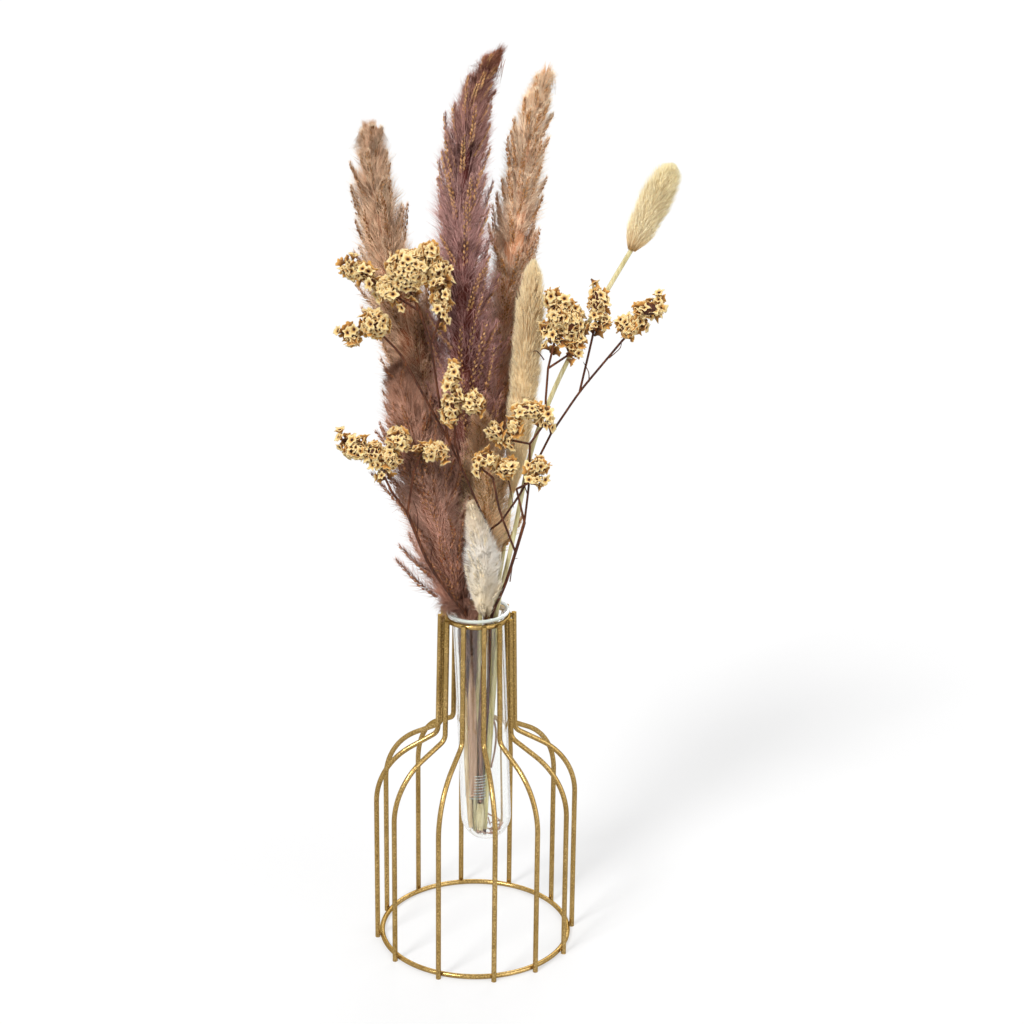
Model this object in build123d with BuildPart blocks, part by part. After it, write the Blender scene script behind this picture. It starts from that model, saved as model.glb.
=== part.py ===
"""Bottle-shaped wire cage that holds a glass test tube with a bunch of dried flowers.

Millimetres and degrees. +Z is up, the origin is on the floor at the cage's axis,
and -Y is the front. Tables whose names end in shares hold places as shares of the
named sizes that they follow.
"""
from build123d import *
from math import cos, hypot, pi, radians, sin, sqrt, tan
import os

os.makedirs("parts", exist_ok=True)

# Cage: straight wires bent to a bottle's outline and welded outside two rings
cage_radius = 50.0
cage_height = 176.0
wire_diameter = 2.5
wire_count = 12
first_wire_angle = 7.4
wire_drift_angles = (3.5, -0.4, -4.1, -2.0, -0.4, 1.6, 1.4, -0.4, -0.7, 0.3, -0.3, 1.6)
shoulder_height = 96.6
shoulder_bend_radius = 33.0
neck_foot_height = 113.3
neck_spread = 1.15
neck_bend_radius = 5.0
foot_length = 0.3
weld_gap = 0.05

# Glass tube with a round bottom and a flared, fire-polished lip that hangs on the top ring
tube_radius = 12.5
glass_wall = 1.2
tube_length = 124.0
tube_lean = 2.4
neck_play = 1.75
tube_shift_share = 0.3
lip_flare_radius = 3.0
lip_flare_angle = 75.0
lip_bead_radius = 0.85
seat_gap = 0.3

# Bunch: stems side by side in the tube, tied with thread, fanning out above the mouth
stem_radius = 1.1
sprig_radius = 0.8
twig_radius = 0.55
stem_gap = 0.3
stem_ribs = 7
thread_radius = 0.45
thread_sides = 6
thread_turns = 7
thread_turn_gap = 1.1
thread_rise = 10.3
bunch_reach = 100.0
bunch_height = 270.0
floret_radius = 2.2
floret_throat_radius = 0.7
floret_length = 4.2
floret_hollow_depth = 1.2
floret_rim = 0.6
floret_sides = 5
floret_turn = 137.5
floret_tilt = 62.0
stem_bend_share = 0.4
twig_bend_share = 0.3
tufts_per_whorl = 6
tuft_rise_share = 0.85

# Sizes that follow from those above
wire_radius = wire_diameter / 2
top_ring_radius = tube_radius + neck_play + wire_radius
neck_radius = top_ring_radius + wire_diameter + weld_gap
base_ring_radius = cage_radius - wire_diameter - weld_gap
top_ring_height = cage_height - wire_radius
base_ring_height = foot_length + wire_radius
bore_radius = tube_radius - glass_wall

# The tube leans in the ring's play, so one side of its lip rests on the ring
lip_rise = (lip_flare_radius + glass_wall / 2) * sin(radians(lip_flare_angle))
lip_radius = tube_radius + lip_flare_radius
lip_radius -= (lip_flare_radius + glass_wall / 2) * cos(radians(lip_flare_angle))
tube_shift = neck_play * tube_shift_share
lean_sin = sin(radians(tube_lean))
lean_cos = cos(radians(tube_lean))
seat_reach = wire_radius + lip_bead_radius + seat_gap
seat_side = top_ring_radius + tube_shift - lip_radius * lean_cos
mouth_height = top_ring_height + sqrt(seat_reach**2 - seat_side**2) + lip_radius * lean_sin
mouth = Vector(tube_shift, 0, mouth_height)
tube_axis = Vector(-lean_sin, 0, lean_cos)
tube_foot = mouth - tube_axis * (tube_length - lip_bead_radius)
bulb_centre = tube_foot + tube_axis * tube_radius

# The stems stand upright in a hexagonal packing against the bore's left wall
stem_pitch = 2 * stem_radius + stem_gap
bundle_radius = sqrt(3) * stem_pitch + stem_radius
thread_line_radius = bundle_radius + stem_gap + thread_radius
thread_pitch = 2 * thread_radius + thread_turn_gap
thread_height = bulb_centre.Z + thread_rise
thread_top = thread_height + thread_turns * thread_pitch + 2 * thread_radius
bundle_x = bulb_centre.X - (bore_radius - seat_gap - thread_line_radius - thread_radius)
free_bore_radius = bore_radius - seat_gap - stem_radius


def radial_plane(angle):
    """Upright plane through the cage's axis: local x runs outwards, local y runs up."""
    outwards = Vector(sin(radians(angle)), -cos(radians(angle)), 0)
    return Plane(origin=(0, 0, 0), x_dir=outwards, z_dir=outwards.cross(Vector(0, 0, 1)))


def in_bunch(shares):
    """A place above the mouth, from shares of the bunch's reach and height."""
    x, y, z = shares
    return Vector(bunch_reach * x, bunch_reach * y, mouth_height + bunch_height * z)


def stem_foot(x, y, radius):
    """Height at which a stem's end comes to rest in the tube's round bottom."""
    side = hypot(x - bulb_centre.X, y - bulb_centre.Y) + radius
    return bulb_centre.Z - sqrt((bore_radius - seat_gap) ** 2 - side**2)


def in_tube(slot, mouth_shares, radius):
    """A stem's three points inside the tube: its end, the top of the tie and the mouth."""
    column, row = slot
    x = bundle_x + stem_pitch * (column + row / 2)
    y = stem_pitch * row * sqrt(3) / 2
    leave = Vector(free_bore_radius * mouth_shares[0], free_bore_radius * mouth_shares[1], 0)
    return [Vector(x, y, stem_foot(x, y, radius)), Vector(x, y, thread_top), mouth + leave]


def bent_route(points, bend_share):
    """Straight runs joined by arcs that take up to their share of the shorter run."""
    radii = []
    for before, corner, after in zip(points, points[1:], points[2:]):
        run_in, run_out = corner - before, after - corner
        turn = radians(run_in.get_angle(run_out))
        radii.append(bend_share * min(run_in.length, run_out.length) / tan(turn / 2))
    with BuildLine() as route:
        if radii:
            FilletPolyline(*points, radius=radii)
        else:
            Line(*points)
    return route.wire()


def rod(route, radius):
    """A ribbed stem along a route."""
    with BuildPart() as piece:
        with BuildSketch(Plane(origin=route @ 0, z_dir=route % 0)):
            RegularPolygon(radius, stem_ribs)
        sweep(path=route)
    return piece.part


def value_along(table, place):
    """A table's value at a place from 0 to 1, straight between its entries."""
    step = place * (len(table) - 1)
    index = min(int(step), len(table) - 2)
    return table[index] + (table[index + 1] - table[index]) * (step - index)


def tufted_head(points, lead_in, full_radius, fullness_shares, whorls, waist_share):
    """A head of whorls: each draws in to a waist, then its tufts rise outwards to their tips."""
    with BuildPart() as piece:
        with BuildLine(mode=Mode.PRIVATE) as spine:
            Spline(*points, tangents=(lead_in, points[-1] - points[-2]))
        for whorl in range(whorls):
            for rise in (0, tuft_rise_share):
                place = (whorl + rise) / whorls
                reach = full_radius * value_along(fullness_shares, place)
                outline = []
                for corner in range(2 * tufts_per_whorl):
                    is_tip = rise and (corner + whorl) % 2
                    radius = reach if is_tip else reach * waist_share
                    angle = pi * corner / tufts_per_whorl
                    outline.append((radius * cos(angle), radius * sin(angle)))
                along = spine.line % place
                with BuildSketch(Plane(origin=spine.line @ place, x_dir=(1, 0, 0), z_dir=along)):
                    Polygon(*outline, align=None)
        loft(ruled=True)
    return piece.part


# Rings
for name, radius, height in (
    ("base_ring", base_ring_radius, base_ring_height),
    ("top_ring", top_ring_radius, top_ring_height),
):
    with BuildPart() as ring:
        with BuildSketch(Plane.XZ):
            with Locations((radius, height)):
                Circle(wire_radius)
        revolve(axis=Axis.Z)
    ring.part.label = name
    export_step(ring.part, f"parts/{name}.step")

# Cage wires, each bent in its own upright plane
for number in range(wire_count):
    drift = wire_drift_angles[number % len(wire_drift_angles)]
    angle = first_wire_angle + number * 360 / wire_count + drift
    with BuildPart() as wire:
        with BuildLine(radial_plane(angle)) as outline:
            FilletPolyline(
                (cage_radius, 0),
                (cage_radius, shoulder_height),
                (neck_radius + neck_spread, neck_foot_height),
                (neck_radius, cage_height),
                radius=[shoulder_bend_radius, neck_bend_radius],
            )
        with BuildSketch(Plane(origin=outline.line @ 0, z_dir=(0, 0, 1))):
            Circle(wire_radius)
        sweep(path=outline.line)
    wire.part.label = f"cage_wire_{number + 1:02d}"
    export_step(wire.part, f"parts/cage_wire_{number + 1:02d}.step")

# Glass tube: wall and lip turned about the leaning axis
flare_foot = tube_length - lip_bead_radius - lip_rise
flare_sin = sin(radians(lip_flare_angle))
flare_cos = cos(radians(lip_flare_angle))


def bulb_arc(radius):
    """Quarter circle of the round bottom, from the axis to the straight wall."""
    low = (0, tube_radius - radius)
    middle = (radius * sin(pi / 4), tube_radius - radius * cos(pi / 4))
    return ThreePointArc(low, middle, (radius, tube_radius))


def flare_arc(radius):
    """Arc of the lip's flare, about a centre outside the tube."""
    centre = tube_radius + lip_flare_radius
    half = radians(lip_flare_angle / 2)
    middle = (centre - radius * cos(half), flare_foot + radius * sin(half))
    end = (centre - radius * flare_cos, flare_foot + radius * flare_sin)
    return ThreePointArc((centre - radius, flare_foot), middle, end)


with BuildPart() as glass_tube:
    section_plane = Plane(origin=tube_foot, x_dir=(lean_cos, 0, lean_sin), z_dir=(0, -1, 0))
    with BuildSketch(section_plane):
        with BuildLine():
            outer_bulb = bulb_arc(tube_radius)
            outer_flare = flare_arc(lip_flare_radius)
            inner_bulb = bulb_arc(bore_radius)
            inner_flare = flare_arc(lip_flare_radius + glass_wall)
            Line(outer_bulb @ 1, outer_flare @ 0)
            Line(inner_bulb @ 1, inner_flare @ 0)
            Line(outer_flare @ 1, inner_flare @ 1)
            Line(outer_bulb @ 0, inner_bulb @ 0)
        make_face()
        with Locations((lip_radius, tube_length - lip_bead_radius)):
            Circle(lip_bead_radius)
    revolve(axis=Axis(tube_foot, tube_axis))
glass_tube.part.label = "glass_tube"
export_step(glass_tube.part, "parts/glass_tube.step")

# Grass plumes and tails: a stem from its slot in the tube to the foot of its head
plume_fullness_shares = (0.3, 0.78, 0.98, 1.0, 0.98, 0.9, 0.76, 0.54, 0.18)
tail_fullness_shares = (0.35, 0.8, 0.97, 1.0, 0.97, 0.78, 0.25)
plume_waist_share = 0.74
tail_waist_share = 0.93
grasses = {
    "plume_left": {
        "radius": 12.0,
        "fullness_shares": plume_fullness_shares,
        "whorls": 12,
        "waist_share": plume_waist_share,
        "slot": (-2, 1),
        "mouth_shares": (-0.6, 0.35),
        "stem_shares": [(-0.14, 0.09, 0.165)],
        "head_shares": [
            (-0.24, 0.13, 0.315),
            (-0.34, 0.14, 0.5),
            (-0.405, 0.13, 0.64),
            (-0.44, 0.12, 0.744),
            (-0.5, 0.1, 0.878),
        ],
    },
    "plume_centre": {
        "radius": 13.0,
        "fullness_shares": plume_fullness_shares,
        "whorls": 14,
        "waist_share": plume_waist_share,
        "slot": (-1, 1),
        "mouth_shares": (-0.1, 0.3),
        "stem_shares": [(-0.01, 0.125, 0.165)],
        "head_shares": [
            (0.0, 0.08, 0.35),
            (-0.02, 0.01, 0.5),
            (-0.075, 0.0, 0.71),
            (-0.07, 0.0, 0.82),
            (0.0, 0.01, 0.945),
            (0.09, 0.02, 1.0),
        ],
    },
    "plume_right": {
        "radius": 10.5,
        "fullness_shares": plume_fullness_shares,
        "whorls": 13,
        "waist_share": plume_waist_share,
        "slot": (0, 1),
        "mouth_shares": (0.35, 0.33),
        "stem_shares": [(0.07, 0.14, 0.165)],
        "head_shares": [
            (0.08, 0.2, 0.315),
            (0.12, 0.21, 0.52),
            (0.175, 0.13, 0.71),
            (0.23, 0.1, 0.867),
            (0.31, 0.08, 0.974),
        ],
    },
    "plume_short": {
        "radius": 8.5,
        "fullness_shares": plume_fullness_shares,
        "whorls": 7,
        "waist_share": plume_waist_share,
        "slot": (0, 0),
        "mouth_shares": (0.0, 0.05),
        "stem_shares": [],
        "head_shares": [(0.035, 0.02, 0.11), (0.035, 0.01, 0.22), (0.01, -0.02, 0.37)],
    },
    "plume_low": {
        "radius": 11.5,
        "fullness_shares": plume_fullness_shares,
        "whorls": 9,
        "waist_share": plume_waist_share,
        "slot": (-1, 0),
        "mouth_shares": (-0.72, -0.25),
        "stem_shares": [],
        "head_shares": [
            (-0.11, -0.05, 0.05),
            (-0.19, -0.06, 0.18),
            (-0.27, -0.05, 0.31),
            (-0.37, -0.02, 0.44),
        ],
    },
    "plume_small": {
        "radius": 5.2,
        "fullness_shares": plume_fullness_shares,
        "whorls": 5,
        "waist_share": plume_waist_share,
        "slot": (0, -1),
        "mouth_shares": (0.1, -0.65),
        "stem_shares": [],
        "head_shares": [(0.03, -0.1, 0.03), (0.035, -0.125, 0.09), (0.01, -0.15, 0.17)],
    },
    "tail_long": {
        "radius": 6.9,
        "fullness_shares": tail_fullness_shares,
        "whorls": 8,
        "waist_share": tail_waist_share,
        "slot": (1, 1),
        "mouth_shares": (0.8, 0.2),
        "stem_shares": [(0.125, 0.03, 0.11)],
        "head_shares": [(0.17, 0.03, 0.25), (0.21, 0.02, 0.4), (0.25, 0.02, 0.64)],
    },
    "tail_small": {
        "radius": 7.2,
        "fullness_shares": tail_fullness_shares,
        "whorls": 5,
        "waist_share": tail_waist_share,
        "slot": (1, 0),
        "mouth_shares": (0.85, -0.2),
        "stem_shares": [
            (0.16, -0.08, 0.13),
            (0.25, -0.09, 0.325),
            (0.38, -0.06, 0.452),
            (0.56, -0.03, 0.578),
        ],
        "head_shares": [(0.71, 0.0, 0.674), (0.8, 0.01, 0.744), (0.885, 0.0, 0.81)],
    },
}
for name, grass in grasses.items():
    head_points = [in_bunch(shares) for shares in grass["head_shares"]]
    stem_points = in_tube(grass["slot"], grass["mouth_shares"], stem_radius)
    stem_points += [in_bunch(shares) for shares in grass["stem_shares"]]
    stem_points.append(head_points[0])
    lead_in = stem_points[-1] - stem_points[-2]
    head = tufted_head(
        head_points,
        lead_in,
        grass["radius"],
        grass["fullness_shares"],
        grass["whorls"],
        grass["waist_share"],
    )
    head.label = f"{name}_head"
    export_step(head, f"parts/{name}_head.step")
    stem = rod(bent_route(stem_points, stem_bend_share), stem_radius)
    stem.label = f"{name}_stem"
    export_step(stem, f"parts/{name}_stem.step")

# Statice sprigs: a trunk from the tube, twigs from its points, and florets along each spike
sprigs = {
    "sprig_centre": {
        "slot": (1, -1),
        "mouth_shares": (0.4, -0.3),
        "trunk_shares": [(0.065, -0.03, 0.085), (0.055, -0.075, 0.165)],
        "twig_shares": {
            "blooms_upper_left": [
                [(0.055, -0.075, 0.165), (-0.01, -0.17, 0.235), (-0.08, -0.2, 0.3), (-0.13, -0.2, 0.34)],
                [(-0.13, -0.2, 0.34), (-0.22, -0.2, 0.404), (-0.36, -0.19, 0.5), (-0.44, -0.18, 0.53)],
                [(-0.13, -0.2, 0.34), (-0.18, -0.21, 0.415), (-0.22, -0.21, 0.52)],
                [(-0.22, -0.21, 0.52), (-0.27, -0.2, 0.575)],
            ],
            "blooms_middle": [[(-0.08, -0.2, 0.3), (-0.11, -0.23, 0.35), (-0.11, -0.24, 0.39)]],
            "blooms_right": [
                [(0.055, -0.075, 0.165), (0.11, -0.14, 0.19), (0.2, -0.13, 0.24), (0.34, -0.12, 0.35)],
                [(0.34, -0.12, 0.35), (0.47, -0.11, 0.426), (0.66, -0.1, 0.515)],
                [(0.34, -0.12, 0.35), (0.31, -0.13, 0.4), (0.32, -0.14, 0.47)],
                [(0.47, -0.11, 0.426), (0.51, -0.12, 0.5)],
            ],
        },
        "spike_shares": {
            "blooms_upper_left": [
                [(-0.44, -0.18, 0.53), (-0.5, -0.18, 0.555), (-0.61, -0.18, 0.53)],
                [(-0.27, -0.2, 0.575), (-0.44, -0.2, 0.615), (-0.6, -0.19, 0.66)],
                [(-0.27, -0.2, 0.575), (-0.34, -0.2, 0.63), (-0.22, -0.19, 0.68)],
                [(-0.22, -0.21, 0.52), (-0.17, -0.21, 0.57), (-0.17, -0.21, 0.63)],
            ],
            "blooms_middle": [
                [(-0.11, -0.24, 0.39), (-0.13, -0.24, 0.48)],
                [(-0.11, -0.24, 0.39), (0.0, -0.24, 0.415)],
            ],
            "blooms_right": [
                [(0.66, -0.1, 0.515), (0.84, -0.09, 0.59)],
                [(0.32, -0.14, 0.47), (0.39, -0.13, 0.59)],
                [(0.32, -0.14, 0.47), (0.44, -0.13, 0.5)],
                [(0.51, -0.12, 0.5), (0.56, -0.12, 0.595)],
            ],
        },
    },
    "sprig_left": {
        "slot": (-1, -1),
        "mouth_shares": (-0.5, -0.7),
        "trunk_shares": [(-0.11, -0.16, 0.045), (-0.23, -0.2, 0.115), (-0.33, -0.21, 0.215)],
        "twig_shares": {
            "blooms_lower_left": [
                [(-0.33, -0.21, 0.215), (-0.4, -0.2, 0.25)],
                [(-0.33, -0.21, 0.215), (-0.3, -0.22, 0.29)],
            ],
        },
        "spike_shares": {
            "blooms_lower_left": [
                [(-0.4, -0.2, 0.25), (-0.5, -0.19, 0.33), (-0.64, -0.18, 0.345)],
                [(-0.3, -0.22, 0.29), (-0.26, -0.22, 0.33), (-0.16, -0.22, 0.325)],
            ],
        },
    },
    "sprig_right": {
        "slot": (2, -1),
        "mouth_shares": (0.6, -0.6),
        "trunk_shares": [(0.13, -0.12, 0.063), (0.18, -0.17, 0.137), (0.22, -0.19, 0.196)],
        "twig_shares": {
            "blooms_lower_right": [
                [(0.22, -0.19, 0.196), (0.24, -0.19, 0.27), (0.24, -0.19, 0.34)],
                [(0.22, -0.19, 0.196), (0.18, -0.21, 0.26)],
                [(0.18, -0.17, 0.137), (0.1, -0.2, 0.22), (0.07, -0.21, 0.28)],
            ],
        },
        "spike_shares": {
            "blooms_lower_right": [
                [(0.24, -0.19, 0.34), (0.33, -0.19, 0.39)],
                [(0.24, -0.19, 0.34), (0.12, -0.2, 0.35)],
                [(0.18, -0.21, 0.26), (0.3, -0.22, 0.285)],
                [(0.07, -0.21, 0.28), (-0.02, -0.22, 0.31)],
            ],
        },
    },
}

# Floret: a five-sided papery funnel with a hollow mouth, its foot at the origin
with BuildPart() as floret:
    with BuildSketch():
        RegularPolygon(floret_radius, floret_sides, major_radius=False)
    extrude(amount=floret_length)
    foot = floret.faces().sort_by(Axis.Z)[0]
    chamfer(
        foot.edges(),
        length=floret_radius - floret_throat_radius,
        length2=floret_length - floret_rim,
        reference=foot,
    )
    with BuildSketch(Plane.XY.offset(floret_length)):
        RegularPolygon(floret_radius - floret_rim, floret_sides, major_radius=False)
    extrude(amount=-floret_hollow_depth, mode=Mode.SUBTRACT)

floret_spacing = floret_radius
bare_stations = 2
check_shares = (0.5, 0.75, 1.0)


def distance_to_run(point, start, end):
    """Distance from a point to a straight run."""
    run = end - start
    share = min(max((point - start).dot(run) / run.dot(run), 0), 1)
    return (point - start - run * share).length


def stands_clear(foot, facing, runs):
    """Whether a floret keeps its gap to every run of every sprig."""
    corner = 1 / cos(pi / floret_sides)
    for share in check_shares:
        middle = foot + facing * floret_length * share
        width = floret_throat_radius + (floret_radius - floret_throat_radius) * share
        reach = width * corner + sprig_radius + stem_gap
        if any(distance_to_run(middle, start, end) < reach for start, end in runs):
            return False
    return True


def floret_places(route, runs):
    """Locations for the florets of one spike, wound round it and tilted off its line."""
    places = []
    tilt = radians(floret_tilt)
    steps = int(route.length / floret_spacing)
    for step in range(bare_stations + 1, steps + 1):
        along = Plane(origin=route @ (step / steps), z_dir=route % (step / steps))
        around = radians(step * floret_turn)
        side = along.x_dir * cos(around) + along.y_dir * sin(around)
        facing = side * sin(tilt) + along.z_dir * cos(tilt)
        foot = along.origin + side * (twig_radius + stem_gap + floret_throat_radius)
        if stands_clear(foot, facing, runs):
            places.append(Plane(origin=foot, z_dir=facing).location)
    return places


twig_runs = []
for name, sprig in sprigs.items():
    trunk_points = in_tube(sprig["slot"], sprig["mouth_shares"], sprig_radius)
    trunk_points += [in_bunch(shares) for shares in sprig["trunk_shares"]]
    branches = []
    for table in (sprig["twig_shares"], sprig["spike_shares"]):
        for routes in table.values():
            branches += [[in_bunch(shares) for shares in route] for route in routes]
    with BuildPart() as stem:
        add(rod(bent_route(trunk_points, stem_bend_share), sprig_radius))
        for points in branches:
            add(rod(bent_route(points, twig_bend_share), twig_radius))
    stem.part.label = f"{name}_stem"
    export_step(stem.part, f"parts/{name}_stem.step")
    for points in [trunk_points] + branches:
        twig_runs += list(zip(points, points[1:]))

for sprig in sprigs.values():
    for group, routes in sprig["spike_shares"].items():
        places = []
        for route in routes:
            spike = bent_route([in_bunch(shares) for shares in route], twig_bend_share)
            places += floret_places(spike, twig_runs)
        with BuildPart() as blooms:
            with Locations(*places):
                add(floret.part)
        blooms.part.label = group
        export_step(blooms.part, f"parts/{group}.step")

# Thread tie: one unbroken helix of half turns, each a pair of tangent arcs
climb = thread_pitch / (2 * pi * thread_line_radius)


def on_helix(turn):
    """A point of the winding's line and its direction there."""
    angle = 2 * pi * turn
    x = bundle_x + thread_line_radius * cos(angle)
    y = thread_line_radius * sin(angle)
    point = Vector(x, y, thread_height + thread_radius + thread_pitch * turn)
    return point, Vector(-sin(angle), cos(angle), climb).normalized()


with BuildPart() as stem_binding:
    with BuildLine() as winding:
        half_turns = 2 * thread_turns
        start, heading = on_helix(0)
        Line(start - heading * 2 * thread_radius, start)
        for half in range(half_turns):
            point, heading = on_helix(half / 2)
            next_point, next_heading = on_helix((half + 1) / 2)
            chord = next_point - point
            both = heading + next_heading
            reach = both.dot(both) - 4
            lean_term = chord.dot(both)
            arm = (lean_term - sqrt(lean_term**2 - reach * chord.dot(chord))) / reach
            knee = (point + heading * arm + next_point - next_heading * arm) / 2
            TangentArc(point, knee, tangent=heading)
            TangentArc(knee, next_point, tangent=knee - point - heading * arm)
        end, heading = on_helix(half_turns / 2)
        Line(end, end + heading * 2 * thread_radius)
    with BuildSketch(Plane(origin=winding.line @ 0, z_dir=winding.line % 0)):
        RegularPolygon(thread_radius, thread_sides)
    sweep(path=winding.line)
stem_binding.part.label = "stem_binding"
export_step(stem_binding.part, "parts/stem_binding.step")

# Least gap of the winding to itself, between points half a turn apart or more
samples_per_half = 12
count = half_turns * samples_per_half
samples = [winding.line @ (index / count) for index in range(count + 1)]
least = min(
    (here - there).length
    for index, here in enumerate(samples)
    for there in samples[index + samples_per_half :]
)
print(f"thread's least gap to itself: {least - 2 * thread_radius:.2f} mm")
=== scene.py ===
"""Looks of the wire cage vase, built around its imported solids.

Metres, in the part's own frame: +Z up, -Y to the front. Tables whose names end in
shares hold places as shares of the bunch's reach and height above the tube's mouth.
"""
from math import cos, pi, radians, sin

import bpy
import numpy as np
from mathutils import Matrix, Vector


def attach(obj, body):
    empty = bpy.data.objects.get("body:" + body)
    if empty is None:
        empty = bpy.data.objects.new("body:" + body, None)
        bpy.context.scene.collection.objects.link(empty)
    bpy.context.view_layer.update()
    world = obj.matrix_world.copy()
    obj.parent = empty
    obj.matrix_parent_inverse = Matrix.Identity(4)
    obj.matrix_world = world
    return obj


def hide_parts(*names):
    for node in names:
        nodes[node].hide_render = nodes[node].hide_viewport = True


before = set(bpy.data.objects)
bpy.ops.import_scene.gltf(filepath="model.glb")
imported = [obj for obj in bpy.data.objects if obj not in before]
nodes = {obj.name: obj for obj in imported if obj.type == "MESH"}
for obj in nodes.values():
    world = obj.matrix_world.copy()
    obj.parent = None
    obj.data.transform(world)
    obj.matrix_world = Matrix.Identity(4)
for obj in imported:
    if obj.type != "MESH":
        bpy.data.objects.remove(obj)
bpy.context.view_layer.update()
mm = 0.001
bake_map = "OFBake"

# Sizes shared with the solids
wire_radius = 1.25 * mm
wire_count = 12
first_wire_angle = 7.4
wire_drift_angles = (3.5, -0.4, -4.1, -2.0, -0.4, 1.6, 1.4, -0.4, -0.7, 0.3, -0.3, 1.6)
top_ring_radius = 15.5 * mm
top_ring_height = 174.75 * mm
base_ring_radius = 47.45 * mm
base_ring_height = 1.55 * mm
bore_radius = 11.3 * mm
tube_lean = 2.4
mouth = np.array((0.525, 0, 177.26)) * mm
tube_axis = np.array((-sin(radians(tube_lean)), 0, cos(radians(tube_lean))))
bulb_depth = 110.65 * mm
bulb_centre = mouth - tube_axis * bulb_depth
bundle_centre = 0.79 * mm
bore_margin = 0.5 * mm
bunch_reach = 100 * mm
bunch_height = 270 * mm

# Camera fitted to the photograph
camera_place = (0, -1.008997, 0.594197)
camera_yaw = -0.01624984
camera_pitch = 0.34774119
camera_roll = -0.01212515
focal_pixels = 2240.457
photo_pixels = 1024
sensor_width = 36.0

sheen_tint = (1.0, 0.85, 0.7, 1)
golden_angle = radians(137.5)

fullness = 1.0


def in_bunch(shares):
    """Places above the tube's mouth, from shares of the bunch's reach and height."""
    table = np.array(shares, float)
    scale = np.array((bunch_reach, bunch_reach, bunch_height))
    return table * scale + (0, 0, mouth[2])


def unit(vectors):
    return vectors / np.maximum(np.linalg.norm(vectors, axis=-1, keepdims=True), 1e-12)


def colour(text):
    """Linear colour from the usual six-figure notation."""
    values = [int(text[i : i + 2], 16) / 255 for i in (1, 3, 5)]
    return [v / 12.92 if v <= 0.04045 else ((v + 0.055) / 1.055) ** 2.4 for v in values] + [1]


def smooth_line(points, count, finer=8):
    """Evenly spaced places on a smooth curve through the points."""
    points = np.array(points, float)
    knots = np.concatenate([[0], np.cumsum(np.linalg.norm(np.diff(points, axis=0), axis=1))])
    slopes = np.gradient(points, knots, axis=0)
    fine = np.linspace(0, knots[-1], finer * count)
    index = np.clip(np.searchsorted(knots, fine, side="right") - 1, 0, len(points) - 2)
    span = (knots[index + 1] - knots[index])[:, None]
    s = (fine - knots[index])[:, None] / span
    line = (2 * s**3 - 3 * s**2 + 1) * points[index]
    line += (s**3 - 2 * s**2 + s) * slopes[index] * span
    line += (3 * s**2 - 2 * s**3) * points[index + 1]
    line += (s**3 - s**2) * slopes[index + 1] * span
    run = np.concatenate([[0], np.cumsum(np.linalg.norm(np.diff(line, axis=0), axis=1))])
    even = np.linspace(0, run[-1], count)
    return np.stack([np.interp(even, run, line[:, i]) for i in range(3)], 1)


def framed(line):
    """A line's places with a direction, a side towards the front and a third axis."""
    along = unit(np.gradient(line, axis=0))
    front = np.array((0.0, -1.0, 0.0))
    side = unit(front - (along @ front)[:, None] * along)
    length = np.linalg.norm(np.diff(line, axis=0), axis=1).sum()
    return {"place": line, "along": along, "side": side, "across": np.cross(along, side), "length": length}


def on_line(spine, shares):
    """Places and axes at shares of a framed line, straight on beyond its ends."""
    grid = np.linspace(0, 1, len(spine["place"]))
    found = {}
    for key in ("place", "along", "side", "across"):
        values = [np.interp(shares, grid, spine[key][:, i]) for i in range(3)]
        found[key] = np.stack(values, -1)
    over = shares - np.clip(shares, 0, 1)
    found["place"] = found["place"] + over[..., None] * spine["length"] * found["along"]
    return found


def around_line(spine, shares, angles, reaches, depth_share=1.0):
    """Places at an angle and distance round a framed line, flatter towards the front."""
    at = on_line(spine, shares)
    out = at["side"] * (np.cos(angles) * depth_share)[..., None] + at["across"] * np.sin(angles)[..., None]
    return at["place"] + out * reaches[..., None]


def kept_in_bore(places):
    """Places below the mouth, pulled in to stay inside the tube."""
    height = (places - mouth) @ tube_axis
    foot = mouth + height[..., None] * tube_axis
    reach = np.linalg.norm(places - foot, axis=-1)
    room = np.where(height < 0, (bore_radius - bore_margin) / np.maximum(reach, 1e-9), 1.0)
    return foot + (places - foot) * np.minimum(room, 1.0)[..., None]


def strips(rows, sides):
    """Triangles between rings that follow each other and have as many corners."""
    pattern = []
    for row in range(rows - 1):
        for corner in range(sides):
            a, b = row * sides + corner, row * sides + (corner + 1) % sides
            pattern += [(a, b, b + sides), (a, b + sides, a + sides)]
    return pattern


def copies(pattern, count, each):
    """One body's triangles, repeated for many bodies with as many vertices."""
    return (np.array(pattern)[None] + (np.arange(count) * each)[:, None, None]).reshape(-1, 3)


def mapped(body, run, chance):
    """A body's vertices and triangles, with the two coordinates of its map."""
    nought = np.zeros(len(body[0]))
    return body[0], body[1], np.stack([nought + run, nought + chance], 1)


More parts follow.
